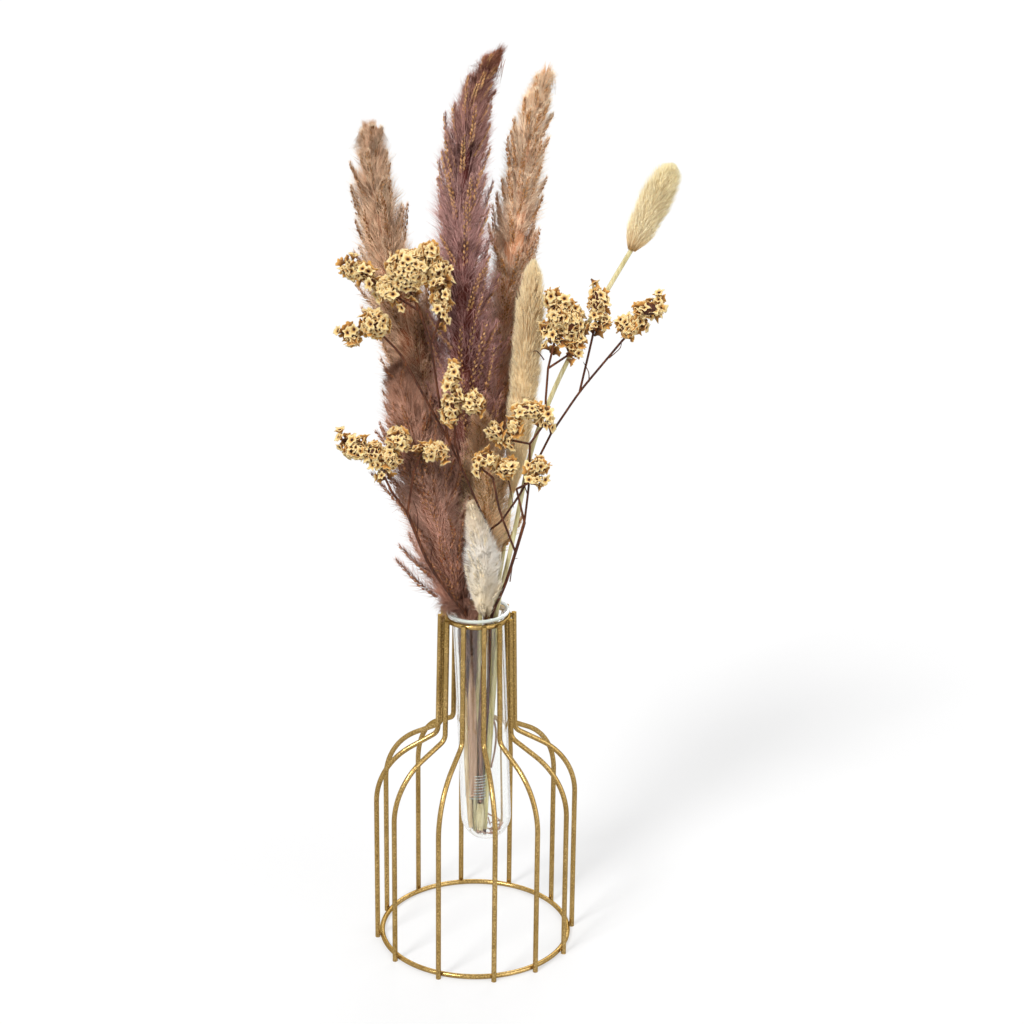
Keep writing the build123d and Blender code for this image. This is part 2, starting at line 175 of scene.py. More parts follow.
def needles(paths, widths, sides=3):
    """Closed tapered needles along paths of shape (count, points, 3)."""
    count, points, _ = paths.shape
    widths = np.broadcast_to(widths, (count, points))
    along = unit(np.gradient(paths, axis=1))
    lean = np.array((0.31, -0.42, 0.85))
    side = unit(np.cross(along, lean))
    across = np.cross(along, side)
    rings = []
    for corner in range(sides):
        angle = 2 * pi * corner / sides
        offset = side * cos(angle) + across * sin(angle)
        rings.append(paths + offset * widths[..., None])
    body = np.stack(rings, 2)[:, :-1].reshape(count, -1, 3)
    vertices = np.concatenate([body, paths[:, -1:]], 1)
    pattern = [(0, corner + 1, corner) for corner in range(1, sides - 1)] + strips(points - 1, sides)
    tip = (points - 1) * sides
    for corner in range(sides):
        pattern.append((tip - sides + corner, tip - sides + (corner + 1) % sides, tip))
    each = tip + 1
    levels = np.append(np.repeat(np.arange(points - 1), sides), points - 1) / (points - 1)
    shares = np.broadcast_to(levels, (count, each)).reshape(-1)
    owners = np.repeat(np.arange(count), each)
    return vertices.reshape(-1, 3), copies(pattern, count, each), shares, owners


def tubes(paths, widths, sides=5, tip_share=0.1):
    """Needles whose last point keeps its width, closed by a short tip."""
    end = paths[:, -1:] + (paths[:, -1:] - paths[:, -2:-1]) * tip_share
    paths = np.concatenate([paths, end], 1)
    widths = np.broadcast_to(widths, paths.shape[:1] + (paths.shape[1] - 1,))
    return needles(paths, np.concatenate([widths, widths[:, -1:]], 1), sides)


grain_levels = np.array((-0.5, -0.3, 0.02, 0.3, 0.5))
grain_widths = np.array((0.12, 0.8, 1.0, 0.55, 0.0))
grain_bulge = 0.1


def grains(places, along, out, length, width):
    """Small five-sided seeds, fullest below the middle and pointed at both ends."""
    length = length[:, None, None]
    paths = places[:, None] + along[:, None] * grain_levels[None, :, None] * length
    paths = paths + out[:, None] * (grain_bulge * grain_widths)[None, :, None] * length
    return needles(paths, grain_widths[None] * width[:, None], sides=5)


def egg(centre, axes, rows=8, turns=14, pole_share=0.05):
    """A closed rounded body from its centre and its three half axes."""
    levels = np.linspace(-pi / 2, pi / 2, rows)[:, None]
    around = 2 * pi * np.arange(turns)[None] / turns
    flat = np.maximum(np.cos(levels), pole_share)
    places = centre + (flat * np.cos(around))[..., None] * axes[0]
    places = places + (flat * np.sin(around))[..., None] * axes[1]
    places = places + (np.sin(levels) + 0 * around)[..., None] * axes[2]
    pattern = strips(rows, turns)
    last = (rows - 1) * turns
    for corner in range(1, turns - 1):
        pattern += [(0, corner + 1, corner), (last, last + corner, last + corner + 1)]
    return mapped((places.reshape(-1, 3), np.array(pattern)), 0.5, 0.5)


def build_piece(name, parts, material, body, replaced=()):
    """A mesh piece from lists of vertices, triangles and map coordinates."""
    vertices, triangles, maps = [], [], []
    offset = 0
    for part_vertices, part_triangles, part_map in parts:
        vertices.append(part_vertices)
        triangles.append(part_triangles + offset)
        maps.append(part_map)
        offset += len(part_vertices)
    vertices = np.concatenate(vertices)
    triangles = np.concatenate(triangles)
    maps = np.concatenate(maps)
    mesh = bpy.data.meshes.new(name)
    mesh.vertices.add(len(vertices))
    mesh.vertices.foreach_set("co", vertices.astype(np.float32).ravel())
    mesh.loops.add(triangles.size)
    mesh.loops.foreach_set("vertex_index", triangles.astype(np.int32).ravel())
    mesh.polygons.add(len(triangles))
    mesh.polygons.foreach_set("loop_start", np.arange(0, triangles.size, 3, dtype=np.int32))
    mesh.update(calc_edges=True)
    layer = mesh.uv_layers.new(name=bake_map)
    layer.data.foreach_set("uv", maps[triangles.ravel()].astype(np.float32).ravel())
    mesh.shade_smooth()
    mesh.validate()
    mesh.materials.append(material)
    piece = bpy.data.objects.new(name, mesh)
    bpy.context.scene.collection.objects.link(piece)
    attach(piece, body)
    if replaced:
        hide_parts(*replaced)
    return piece


# Materials
bump_strength = 0.5
bump_depth = 0.1 * mm
upright_grain = (1, 1, 0.06)


class Nodes:
    """A short way to write the nodes of a material or of the world."""

    def __init__(self, name, owners=bpy.data.materials, shader="Principled BSDF"):
        self.owner = owners.new(name)
        self.owner.use_nodes = True
        self.tree = self.owner.node_tree
        self.shader = self.tree.nodes[shader]

    def join(self, value, socket):
        """Link a node's output to a socket, or give the socket a constant."""
        if isinstance(value, bpy.types.NodeSocket):
            self.tree.links.new(value, socket)
        else:
            socket.default_value = value

    def set(self, **values):
        for key, value in values.items():
            self.join(value, self.shader.inputs[key.replace("_", " ")])

    def add(self, kind, settings=None, **inputs):
        """A new node, whose inputs go by name or, written at0, at1 and so on, by number."""
        node = self.tree.nodes.new("ShaderNode" + kind)
        for key, value in (settings or {}).items():
            setattr(node, key, value)
        for key, value in inputs.items():
            self.join(value, node.inputs[int(key[2:])] if key.startswith("at") else node.inputs[key])
        return node

    def ramp(self, share, stops):
        node = self.add("ValToRGB", Fac=share)
        elements = node.color_ramp.elements
        while len(elements) < len(stops):
            elements.new(0.5)
        for element, (place, tone) in zip(elements, stops):
            element.position = place
            element.color = colour(tone)
        return node.outputs["Color"]

    def mix(self, share, first, second):
        node = self.add("Mix", {"data_type": "RGBA"}, at0=share, at6=first, at7=second)
        return node.outputs[2]

    def math(self, operation, first, second):
        return self.add("Math", {"operation": operation}, at0=first, at1=second).outputs[0]

    def spread(self, value, low, high):
        """A value from 0 to 1 brought between two limits."""
        node = self.add("MapRange", Value=value)
        self.join(low, node.inputs["To Min"])
        self.join(high, node.inputs["To Max"])
        return node.outputs["Result"]

    def map_values(self):
        """The two coordinates of the map that the bake keeps."""
        place = self.add("UVMap", {"uv_map": bake_map})
        split = self.add("SeparateXYZ", Vector=place.outputs["UV"])
        return split.outputs["X"], split.outputs["Y"]

    def chance(self, station, scale):
        """A random value for each value of the map's second coordinate."""
        spot = self.math("MULTIPLY", station, scale)
        return self.add("TexWhiteNoise", {"noise_dimensions": "1D"}, W=spot).outputs["Value"]

    def noise(self, scale, detail, roughness=0.5, stretch=None):
        place = self.add("TexCoord").outputs["Object"]
        if stretch:
            place = self.add("Mapping", Vector=place, Scale=stretch).outputs["Vector"]
        node = self.add("TexNoise", Vector=place, Scale=scale, Detail=detail, Roughness=roughness)
        return node.outputs["Fac"]

    def bump(self, height):
        node = self.add("Bump", Height=height, Strength=bump_strength, Distance=bump_depth)
        self.set(Normal=node.outputs["Normal"])

    def seen(self):
        """One for rays from the camera, off gloss and through glass, and nought for the rest."""
        rays = self.add("LightPath").outputs
        seen = rays["Is Camera Ray"]
        for kind in ("Is Glossy Ray", "Is Transmission Ray"):
            seen = self.math("MAXIMUM", seen, rays[kind])
        return seen


def plain_material(name, **settings):
    made = Nodes(name)
    made.set(**settings)
    return made.owner


def gold_material(name, worn):
    made = Nodes(name)
    cloud = made.noise(scale=60, detail=4)
    grain = made.noise(scale=1700, detail=3)
    tone = made.ramp(cloud, [(0.3, "#a68850"), (0.5, "#b99b60"), (0.72, "#cfb074")])
    speck = made.ramp(grain, [(0.36, "#ffffff"), (0.6, "#000000")])
    tone = made.mix(made.math("MULTIPLY", speck, 0.75), tone, colour("#6e5026"))
    if worn:
        tone = made.mix(0.35, tone, colour("#5c4420"))
    made.set(Base_Color=tone, Metallic=0.88, Specular_Tint=(0.5, 0.4, 0.25, 1))
    made.set(Roughness=made.spread(grain, low=0.16, high=0.34))
    made.bump(grain)
    return made.owner


def fibre_material(name, root_stops, tip_stops, variety=0.3, sheen=0.06):
    """Fibres: the map runs from root to tip, and along the head with a little chance. Where the run follows
    depth, the dark root tones paint shade deep in the head besides the fibres' darker bases, and the pale
    tips paint light on its outside.
    """
    made = Nodes(name)
    run, station = made.map_values()
    chance = made.chance(station, scale=7919.0)
    tone = made.mix(run, made.ramp(station, root_stops), made.ramp(station, tip_stops))
    level = made.spread(chance, low=1 - variety, high=1 + variety)
    made.set(Base_Color=made.add("HueSaturation", Value=level, Color=tone).outputs["Color"])
    made.set(Roughness=0.8, Sheen_Weight=sheen, Sheen_Roughness=0.5, Sheen_Tint=sheen_tint)
    made.set(Specular_IOR_Level=0.08)
    return made.owner


def stalk_material(name, dark, middle, light, roughness=0.6):
    made = Nodes(name)
    streak = made.noise(scale=900, detail=5, roughness=0.6, stretch=upright_grain)
    made.set(Base_Color=made.ramp(streak, [(0.3, dark), (0.5, middle), (0.68, light)]))
    made.set(Roughness=roughness, Specular_IOR_Level=0.3)
    made.bump(streak)
    return made.owner


gold = gold_material("gold_paint", worn=False)
weld_gold = gold_material("weld_gold", worn=True)
clear = (0.985, 0.995, 0.985, 1)
glass = plain_material("tube_glass", Base_Color=clear, Roughness=0.0, IOR=1.47, Transmission_Weight=1.0)
reed = stalk_material("reed_stalk", "#6f5040", "#a5836c", "#c9aa92")
straw = stalk_material("straw_stalk", "#aa9c66", "#d2c692", "#ebe2ba", roughness=0.5)
twig = stalk_material("twig_bark", "#260f05", "#48210d", "#744224")

for name, node in nodes.items():
    if name.startswith("cage_wire") or name.endswith("ring"):
        chosen = gold
    elif name == "glass_tube":
        chosen = glass
    elif name.startswith("tail") or name in ("plume_small_stem", "plume_short_stem"):
        chosen = straw
    elif name.startswith("sprig"):
        chosen = twig
    else:
        chosen = reed
    for material_slot in node.material_slots:
        material_slot.material = chosen

# Grass plumes: seed-bearing branches off a spine, with silky hairs off both
plume_outline_shares = (
    (0.0, 0.6), (0.08, 0.9), (0.25, 1.08), (0.5, 1.08), (0.62, 1.0),
    (0.75, 0.9), (0.85, 0.76), (0.92, 0.62), (0.97, 0.4), (1.0, 0.2),
)
# Roots hold the fibres' darker bases and the painted shade deep in each head; tips hold their pale ends and
# the painted light on its outside.
plumes = {
    "plume_left": {
        "radius": 14.4 * mm,
        "branches": 90,
        "hairs": 22000,
        "slot": "tan_plume",
        "outline_shares": (
            (0.0, 1.0), (0.15, 1.22), (0.45, 1.22), (0.62, 1.0), (0.75, 0.9),
            (0.85, 0.78), (0.92, 0.66), (0.97, 0.45), (1.0, 0.25),
        ),
        "spine_shares": [
            (-0.21, 0.13, 0.3), (-0.325, 0.14, 0.5), (-0.435, 0.13, 0.64),
            (-0.475, 0.12, 0.744), (-0.505, 0.1, 0.87),
        ],
        "roots": [(0.0, "#84503a"), (0.5, "#a26444"), (1.0, "#b4744e")],
        "tips": [(0.0, "#fccdac"), (0.5, "#ffdcb8"), (1.0, "#ffeaca")],
        "seeds": ["#84522e", "#dcaa78", "#5e361c"],
    },
    "plume_centre": {
        "radius": 14.6 * mm,
        "branches": 108,
        "hairs": 24000,
        "slot": "mauve_plume",
        "outline_shares": (
            (0.0, 0.6), (0.08, 0.95), (0.2, 1.2), (0.5, 1.16), (0.62, 1.02),
            (0.75, 0.9), (0.85, 0.76), (0.92, 0.62), (0.97, 0.4), (1.0, 0.2),
        ),
        "spine_shares": [
            (-0.07, 0.08, 0.18), (-0.06, 0.07, 0.35), (-0.065, 0.01, 0.5), (-0.085, 0.0, 0.71),
            (-0.07, 0.0, 0.82), (0.0, 0.01, 0.945), (0.09, 0.02, 1.0),
        ],
        "roots": [(0.0, "#764028"), (0.4, "#622e24"), (0.8, "#683632"), (1.0, "#824c34")],
        "tips": [(0.0, "#e4b09a"), (0.35, "#deaaa4"), (0.72, "#e6b8ae"), (0.9, "#c89484"), (1.0, "#b67a60")],
        "seeds": ["#9c683e", "#e8be8a", "#be8c5c"],
    },
    "plume_right": {
        "radius": 12.0 * mm,
        "branches": 96,
        "hairs": 18000,
        "slot": "tan_plume",
        "spine_shares": [
            (0.08, 0.2, 0.315), (0.12, 0.21, 0.52), (0.175, 0.13, 0.71),
            (0.23, 0.1, 0.867), (0.3, 0.08, 0.968),
        ],
        "roots": [(0.0, "#b2765a"), (0.6, "#e2a67e"), (1.0, "#f8c898")],
        "tips": [(0.0, "#ffd6bc"), (0.5, "#ffe8ca"), (1.0, "#fff2d8")],
        "seeds": ["#a0683a", "#d8a672", "#b07c4c"],
    },
    "plume_short": {
        "radius": 13.0 * mm,
        "branches": 60,
        "hairs": 13000,
        "slot": "golden_plume",
        "spine_shares": [(0.035, 0.02, 0.11), (0.035, 0.01, 0.22), (0.01, -0.02, 0.37)],
        "roots": [(0.0, "#d8a268"), (1.0, "#cc8e62")],
        "tips": [(0.0, "#ffe8be"), (1.0, "#ffdcb6")],
        "seeds": ["#946438", "#d4a66c", "#a87848"],
    },
    "plume_low": {
        "radius": 16.4 * mm,
        "branches": 96,
        "hairs": 16000,
        "stray_share": 0.4,
        "stray_reach": 1.45,
        "slot": "brown_plume",
        "outline_shares": (
            (0.0, 0.62), (0.12, 0.9), (0.3, 1.0), (0.7, 0.97), (0.88, 0.72), (0.96, 0.5), (1.0, 0.2),
        ),
        "spine_shares": [
            (-0.115, -0.02, 0.05), (-0.205, -0.02, 0.18), (-0.29, -0.01, 0.31), (-0.385, 0.0, 0.46),
        ],
        "roots": [(0.0, "#744632"), (0.5, "#8c5c46"), (0.8, "#9a6a52"), (1.0, "#8a5c46")],
        "tips": [(0.0, "#d29c86"), (0.3, "#f2c2ac"), (0.65, "#e4b49c"), (1.0, "#c89a80")],
        "seeds": ["#8c5232", "#deaa7a", "#84492a"],
    },
    "plume_small": {
        "radius": 8.8 * mm,
        "branches": 30,
        "hairs": 20000,
        "variety": 0.1,
        "stray_share": 0.35,
        "stray_reach": 1.3,
        "halo_share": 0.34,
        "slot": "cream_plume",
        "outline_shares": (
            (0.0, 0.5), (0.2, 0.86), (0.42, 1.0), (0.62, 0.84), (0.8, 0.6), (0.92, 0.42), (1.0, 0.2),
        ),
        "spine_shares": [(0.035, -0.1, 0.03), (0.03, -0.125, 0.1), (-0.028, -0.14, 0.222)],
        "roots": [(0.0, "#f0dcb8"), (0.5, "#e6d8c4"), (1.0, "#e2ccac")],
        "tips": [(0.0, "#fbf1dc"), (0.5, "#fdfaf4"), (1.0, "#ecd8b8")],
        "seeds": ["#e0cfac", "#f4eada", "#dccaa8"],
    },
}
spine_steps = 96
plume_depth_share = 0.74
plume_variety = 0.42

# Branches: feet as shares of the spine, reaches as shares of the radius
branch_steps = 25
branch_shares = np.linspace(0, 1, branch_steps)
branch_foot_range = (-0.1, 0.955)
branch_foot_play = 0.006
branch_turn_play = 0.3
branch_angle_range = (20, 29)
branch_reach_range = (0.76, 1.06)
branch_least_reach = 0.2
branch_top_range = (-0.02, 0.025)
branch_wander = 0.16
branch_curve = 0.62
outline_passes = 3
stray_share = 0.2
stray_reach = 1.22
stray_angle = 38
stray_top = 0.55

# Seeds: their distances from the branch are in seed widths
seeded_steps = slice(5, None)
seed_length = 2.1 * mm
seed_width = 0.5 * mm
seed_scale_range = (0.6, 1.2)
seed_foot_scale = 1.3
seed_tip_loss = 0.6
seed_aside = 0.9
seed_raise_range = (0.9, 2.3)
seed_opening = 0.34
seed_tilt = 0.12
stalk_width = 0.16 * mm
stalk_tip_loss = 0.5
stalk_run = 0.3
stalk_chance = 0.1

# Hairs round the seeds: scales and angles shrink towards the tips of branch and plume
hairs_per_seed = 8
hair_width = 0.1 * mm
hair_taper = np.array((1.15, 0.8, 0.0))
hair_length = 7.6 * mm
hair_scale_range = (0.55, 1.15)
hair_foot_scale = 1.2
hair_tip_loss = 0.8
hair_low_scale = 1.12
hair_high_loss = 0.42
hair_angle_range = (18, 64)
hair_foot_opening = 1.15
hair_tip_closing = 0.6
hair_front_loss = 0.7
hair_lift = 0.15
hair_play = 0.12
hair_knee = 0.5
hair_step_run = 0.3
usual_radius = 11 * mm
radius_scale_limits = (0.6, 1.1)

# Floss: locks of fibres off the spine, and a halo of some that stand out further
hairs_per_lock = 60
lock_start_range = (-0.1, 0.99)
lock_reach_range = (0.8, 1.04)
lock_spread = 0.9 * mm
lock_turn_play = 0.2
floss_turn_shares = np.array((0.7, 1.2))
floss_taper = np.array((1.15, 0.0))
floss_reach = 0.96
floss_angle_range = (22, 50)
floss_longest = 1.16
floss_length_play = 0.74
floss_length_bias = (1.3, 1.6)
floss_near_range = (0.08, 0.62)
floss_top_range = (-0.02, 0.07)
halo_share = 0.16
halo_reach = 1.2
halo_reach_range = (0.8, 1.1)
halo_angle_range = (46, 64)

# Tones: the map's run from root to tip, and its station along the head; runs stay low for fibres deep in the
# head, so their dark tones are painted shade
near_run = 0.75
far_least_run = 0.2
station_play = 0.02
station_limits = (0.001, 0.998)
tones_per_lock = 4
tone_step = 0.0004

# Core under the fibres
core_share = 0.42
core_top = 0.9
core_steps = 24
core_sides = 14
core_closing = 4


def reach_at(shares, outline_shares, radius):
    places, reaches = np.array(outline_shares).T
    return radius * np.interp(shares, places, reaches)


def stations(places, owners, rng):
    """Where fibres take their tones from, with a little chance by lock and by fibre."""
    places = np.clip(places + rng.normal(0, station_play, len(places)), *station_limits)
    return places[owners] + tone_step * rng.integers(0, tones_per_lock, len(owners))


def grow_core(spine, outline_shares, radius, run):
    """A closed body along the spine that the fibres hide."""
    shares = np.linspace(0, core_top, core_steps)
    reaches = reach_at(shares, outline_shares, radius) * (1 - (shares / core_top) ** core_closing)
    core = needles(on_line(spine, shares)["place"][None], reaches[None], sides=core_sides)
    return mapped(core, run, 0.1 + 0.8 * core[2])


def grow_floss(spine, outline_shares, radius, amount, rng, depth_share=1.0, wisp_share=halo_share):
    """Locks of long straight fibres off the spine, with their map."""
    locks = max(amount // hairs_per_lock, 1)
    owner = rng.integers(0, locks, amount)
    lock_start = rng.uniform(*lock_start_range, locks)
    lock_wind = rng.uniform(0, 2 * pi, locks)
    lock_reach = rng.uniform(*lock_reach_range, locks)
    steep = np.tan(np.radians(rng.uniform(*floss_angle_range, amount)))
    halo = rng.uniform(0, 1, amount) < wisp_share
    steep = np.where(halo, np.tan(np.radians(rng.uniform(*halo_angle_range, amount))), steep)
    start = lock_start[owner] + rng.normal(0, lock_spread / spine["length"], amount)
    shorter = floss_length_play * rng.beta(*floss_length_bias, amount)
    far = radius * lock_reach[owner] * (floss_longest - shorter)
    far = np.where(halo, radius * halo_reach * rng.uniform(*halo_reach_range, amount), far)
    near_share = rng.uniform(*floss_near_range, amount)
    end = start + far * (1 - near_share) / steep / spine["length"]
    end = np.minimum(end, 1 - rng.uniform(*floss_top_range, amount))
    far = far * reach_at(end, outline_shares, 1.0)
    wind = lock_wind[owner][:, None] + rng.normal(0, lock_turn_play, (amount, 1)) * floss_turn_shares
    reaches = far[:, None] * np.stack([near_share, np.ones(amount)], 1)
    paths = around_line(spine, np.stack([start, end], 1), wind, reaches, depth_share)
    floss = needles(kept_in_bore(paths), hair_width * floss_taper)
    # Fibres that start deep or reach less far out take darker tones: painted shade inside the fluff
    low = near_run * near_share * far / radius
    high = np.clip(far_least_run + (1 - far_least_run) * far / radius, 0, 1)
    run = low[floss[3]] + (high - low)[floss[3]] * floss[2]
    return mapped(floss, run, stations(lock_start, owner, rng)[floss[3]])


def grow_branches(spine, plume, outline_shares, rng):
    """Branches that leave the spine at a steep angle and end at the plume's outline."""
    radius, count = plume["radius"], plume["branches"]
    foot = np.linspace(*branch_foot_range, count) + rng.normal(0, branch_foot_play, count)
    turn = np.arange(count) * golden_angle + rng.normal(0, branch_turn_play, count)
    steep = np.tan(np.radians(rng.uniform(*branch_angle_range, count)))
    stray = (rng.uniform(0, 1, count) < plume.get("stray_share", stray_share)) & (foot < stray_top)
    chance_reach = rng.uniform(*branch_reach_range, count)
    chance_reach = chance_reach * np.where(stray, plume.get("stray_reach", stray_reach), 1)
    steep = np.where(stray, np.tan(radians(stray_angle)), steep)
    tip = foot + radius / steep / spine["length"]
    top = 1 + rng.uniform(*branch_top_range, count)
    for _ in range(outline_passes):
        reach = reach_at(tip, outline_shares, radius) * chance_reach
        rise = np.maximum(reach, branch_least_reach * radius) / steep / spine["length"]
        tip = np.minimum(foot + rise, top)
    shares = foot[:, None] + (tip - foot)[:, None] * branch_shares
    wind = turn[:, None] + rng.normal(0, branch_wander, (count, 1)) * branch_shares**2
    reaches = reach[:, None] * branch_shares**branch_curve
    places = kept_in_bore(around_line(spine, shares, wind, reaches, plume_depth_share))
    heading = unit(np.gradient(places, axis=1))
    outward = unit(places - on_line(spine, shares)["place"] + heading * 1e-6)
    return {"places": places, "heading": heading, "outward": outward, "foot": foot, "tip": tip}


def grow_seeds(branches, rng):
    """Seeds left and right along each branch, on its outer side, and the branches' stalks."""
    places, heading, outward = (branches[key] for key in ("places", "heading", "outward"))
    count = len(places)
    flat = unit(np.cross(heading, outward))
    side = np.where((np.arange(branch_steps) % 2)[None, :, None] == 0, 1.0, -1.0)
    narrow = (seed_foot_scale - seed_tip_loss * branch_shares**2)[None, :, None]
    raised = outward * rng.uniform(*seed_raise_range, (count, branch_steps, 1))
    off = (flat * side * seed_aside + raised) * seed_width * narrow
    seed_places = (places + off)[:, seeded_steps].reshape(-1, 3)
    seed_heading = unit(heading + flat * side * seed_opening + outward * seed_tilt)
    seed_heading = seed_heading[:, seeded_steps].reshape(-1, 3)
    seed_out = (flat * side)[:, seeded_steps].reshape(-1, 3)
    scale = rng.uniform(*seed_scale_range, len(seed_places)) * np.tile(narrow[0, seeded_steps, 0], count)
    seeds = grains(seed_places, seed_heading, seed_out, seed_length * scale, seed_width * scale)
    seed_chance = rng.uniform(0, 1, len(seed_places))
    stalks = needles(places, stalk_width * (1 - stalk_tip_loss * branch_shares))
    seeds = mapped(seeds, seeds[2], seed_chance[seeds[3]])
    return [seeds, mapped(stalks, stalks[2] * stalk_run, stalk_chance)]


def grow_hairs(branches, radius, rng):
    """Hairs round each seed, to both sides of its branch and fewer in front of it."""
    count = len(branches["places"])
    roots, heading, outward = (
        np.repeat(branches[key][:, seeded_steps].reshape(-1, 3), hairs_per_seed, 0)
        for key in ("places", "heading", "outward")
    )
    steps = branch_shares[seeded_steps]
    step = np.repeat(np.tile(steps, count), hairs_per_seed)
    owner = np.repeat(np.arange(count), len(steps) * hairs_per_seed)
    chosen = rng.uniform(0, 1, len(roots)) < fullness
    roots, heading, outward, step, owner = (row[chosen] for row in (roots, heading, outward, step, owner))
    spray = unit(rng.normal(0, 1, roots.shape))
    forward = np.maximum((spray * outward).sum(1), 0)[:, None]
    spray = spray - hair_front_loss * forward * outward
    spray = unit(spray - (spray * heading).sum(1)[:, None] * heading)
    angle = np.radians(rng.uniform(*hair_angle_range, len(roots)))[:, None]
    angle = angle * (hair_foot_opening - hair_tip_closing * step[:, None])
    leave = heading * np.cos(angle) + spray * np.sin(angle)
    length = hair_length * rng.uniform(*hair_scale_range, len(roots))
    by_size = np.clip(radius / usual_radius, *radius_scale_limits)
    length *= by_size * (hair_foot_scale - hair_tip_loss * step**2)
    length *= hair_low_scale - hair_high_loss * np.clip(branches["tip"][owner], 0, 1)
    bend = unit(leave + hair_lift * heading + hair_play * rng.normal(0, 1, roots.shape))
    half = length[:, None] * hair_knee
    knee = roots + leave * half
    hairs = needles(kept_in_bore(np.stack([roots, knee, knee + bend * half], 1)), hair_width * hair_taper)
    # Hairs rooted nearer the spine take darker tones: painted shade deep in the head
    run = hair_step_run * step[hairs[3]] + (1 - hair_step_run) * hairs[2]
    middle = branches["foot"] + 0.5 * (branches["tip"] - branches["foot"])
    return mapped(hairs, run, stations(middle, owner, rng)[hairs[3]])


def grow_plume(name, plume, rng):
    """One plume as pieces of hairs, of floss, and of branches with their seeds."""
    spine = framed(smooth_line(in_bunch(plume["spine_shares"]), spine_steps))
    radius, slot = plume["radius"], plume["slot"]
    outline_shares = plume.get("outline_shares", plume_outline_shares)
    branches = grow_branches(spine, plume, outline_shares, rng)
    seeds = grow_seeds(branches, rng)
    hairs = grow_hairs(branches, radius, rng)
    amount = int(plume["hairs"] * fullness)
    wisp_share = plume.get("halo_share", halo_share)
    reach = radius * floss_reach
    floss = grow_floss(spine, outline_shares, reach, amount, rng, plume_depth_share, wisp_share)
    # The core takes the dark root tones: a dark body as painted shade inside the head
    core = grow_core(spine, outline_shares, radius * core_share, 0.0)

    variety = plume.get("variety", plume_variety)
    fluff = fibre_material(f"{name}_floss", plume["roots"], plume["tips"], variety)
    dark, light, point = plume["seeds"]
    seed_stops = [(0.0, dark), (0.5, light), (1.0, light)]
    husks = fibre_material(f"{name}_husks", seed_stops, [(0.0, point), (1.0, point)], sheen=0.0)
    build_piece(f"{name}_hairs", [hairs, core], fluff, "bunch", [f"{name}_head"])
    build_piece(f"{name}_floss", [floss], fluff, "bunch")
    build_piece(f"{name}_seeds", seeds, husks, "bunch")


for number, (name, plume) in enumerate(plumes.items()):
    grow_plume(name, plume, np.random.default_rng(100 + number))

# Tails: short dense fur off a spine
tail_outline_shares = (
    (0.0, 0.35), (0.1, 0.72), (0.3, 0.93), (0.55, 1.0), (0.8, 0.97),
    (0.9, 0.84), (0.96, 0.62), (1.0, 0.34), (1.03, 0.06),
)
tails = {
    "tail_long": {
        "radius": 7.7 * mm,
        "hairs": 8600,
        "spine_shares": [(0.17, 0.03, 0.25), (0.21, 0.02, 0.4), (0.25, 0.02, 0.64)],
        "roots": [(0.0, "#eec68a"), (1.0, "#f0c284")],
        "tips": [(0.0, "#fff0ca"), (1.0, "#fff0c8")],
    },
    "tail_small": {
        "radius": 8.0 * mm,
        "hairs": 6400,
        "spine_shares": [(0.71, 0.0, 0.676), (0.8, 0.01, 0.75), (0.878, 0.0, 0.812)],
        "roots": [(0.0, "#f6d094"), (1.0, "#f6d090")],
        "tips": [(0.0, "#fff6d4"), (1.0, "#fff6cc")],
    },
}
fur_width = 0.11 * mm
fur_taper = np.array((1.0, 1.0, 0.75, 0.0))
fur_steps = np.array((0.0, 0.3, 0.7, 1.0))
fur_start_range = (-0.08, 0.96)
fur_angle_range = (24, 38)
fur_rise_range = (0.62, 0.9)
fur_reach_range = (0.78, 1.1)
fur_near_reach = 0.25
fur_curve = 0.9
fur_top = 1.02
fur_top_loss = 0.07
fur_turn_play = 0.1
fur_station_play = 0.03
fur_variety = 0.22
fur_lock_length = 2.6 * mm
fur_lock_depth = 0.07
tail_core_share = 0.66
tail_core_run = 0.6


def grow_tail(name, tail, rng):
    """One tail as a piece of fur with a core beneath it."""
    spine = framed(smooth_line(in_bunch(tail["spine_shares"]), spine_steps))
    radius = tail["radius"]
    amount = int(tail["hairs"] * fullness)
    start = rng.uniform(*fur_start_range, amount)
    wind = rng.uniform(0, 2 * pi, amount)
    lock = fur_lock_depth * np.sin(start * spine["length"] / fur_lock_length + 2 * wind)
    steep = np.tan(np.radians(rng.uniform(*fur_angle_range, amount)))
    rise = radius * rng.uniform(*fur_rise_range, amount) / steep / spine["length"]
    end = np.minimum(start + rise, fur_top - fur_top_loss * rng.uniform(-0.1, 1, amount) ** 2)
    far = reach_at(end, tail_outline_shares, radius) * (rng.uniform(*fur_reach_range, amount) + lock)
    shares = start[:, None] + (end - start)[:, None] * fur_steps
    reaches = far[:, None] * (fur_near_reach + (1 - fur_near_reach) * fur_steps**fur_curve)
    turn = wind[:, None] + fur_turn_play * rng.normal(0, 1, (amount, 1)) * fur_steps
    fur = needles(around_line(spine, shares, turn, reaches), fur_width * fur_taper)
    place = np.clip(start + rng.normal(0, fur_station_play, amount), 0.001, 0.999)
    core = grow_core(spine, tail_outline_shares, radius * tail_core_share, tail_core_run)
    fluff = fibre_material(f"{name}_fur", tail["roots"], tail["tips"], fur_variety)
    parts = [mapped(fur, fur[2], place[fur[3]]), core]
    build_piece(f"{name}_fur", parts, fluff, "bunch", [f"{name}_head"])


for number, (name, tail) in enumerate(tails.items()):
    grow_tail(name, tail, np.random.default_rng(200 + number))

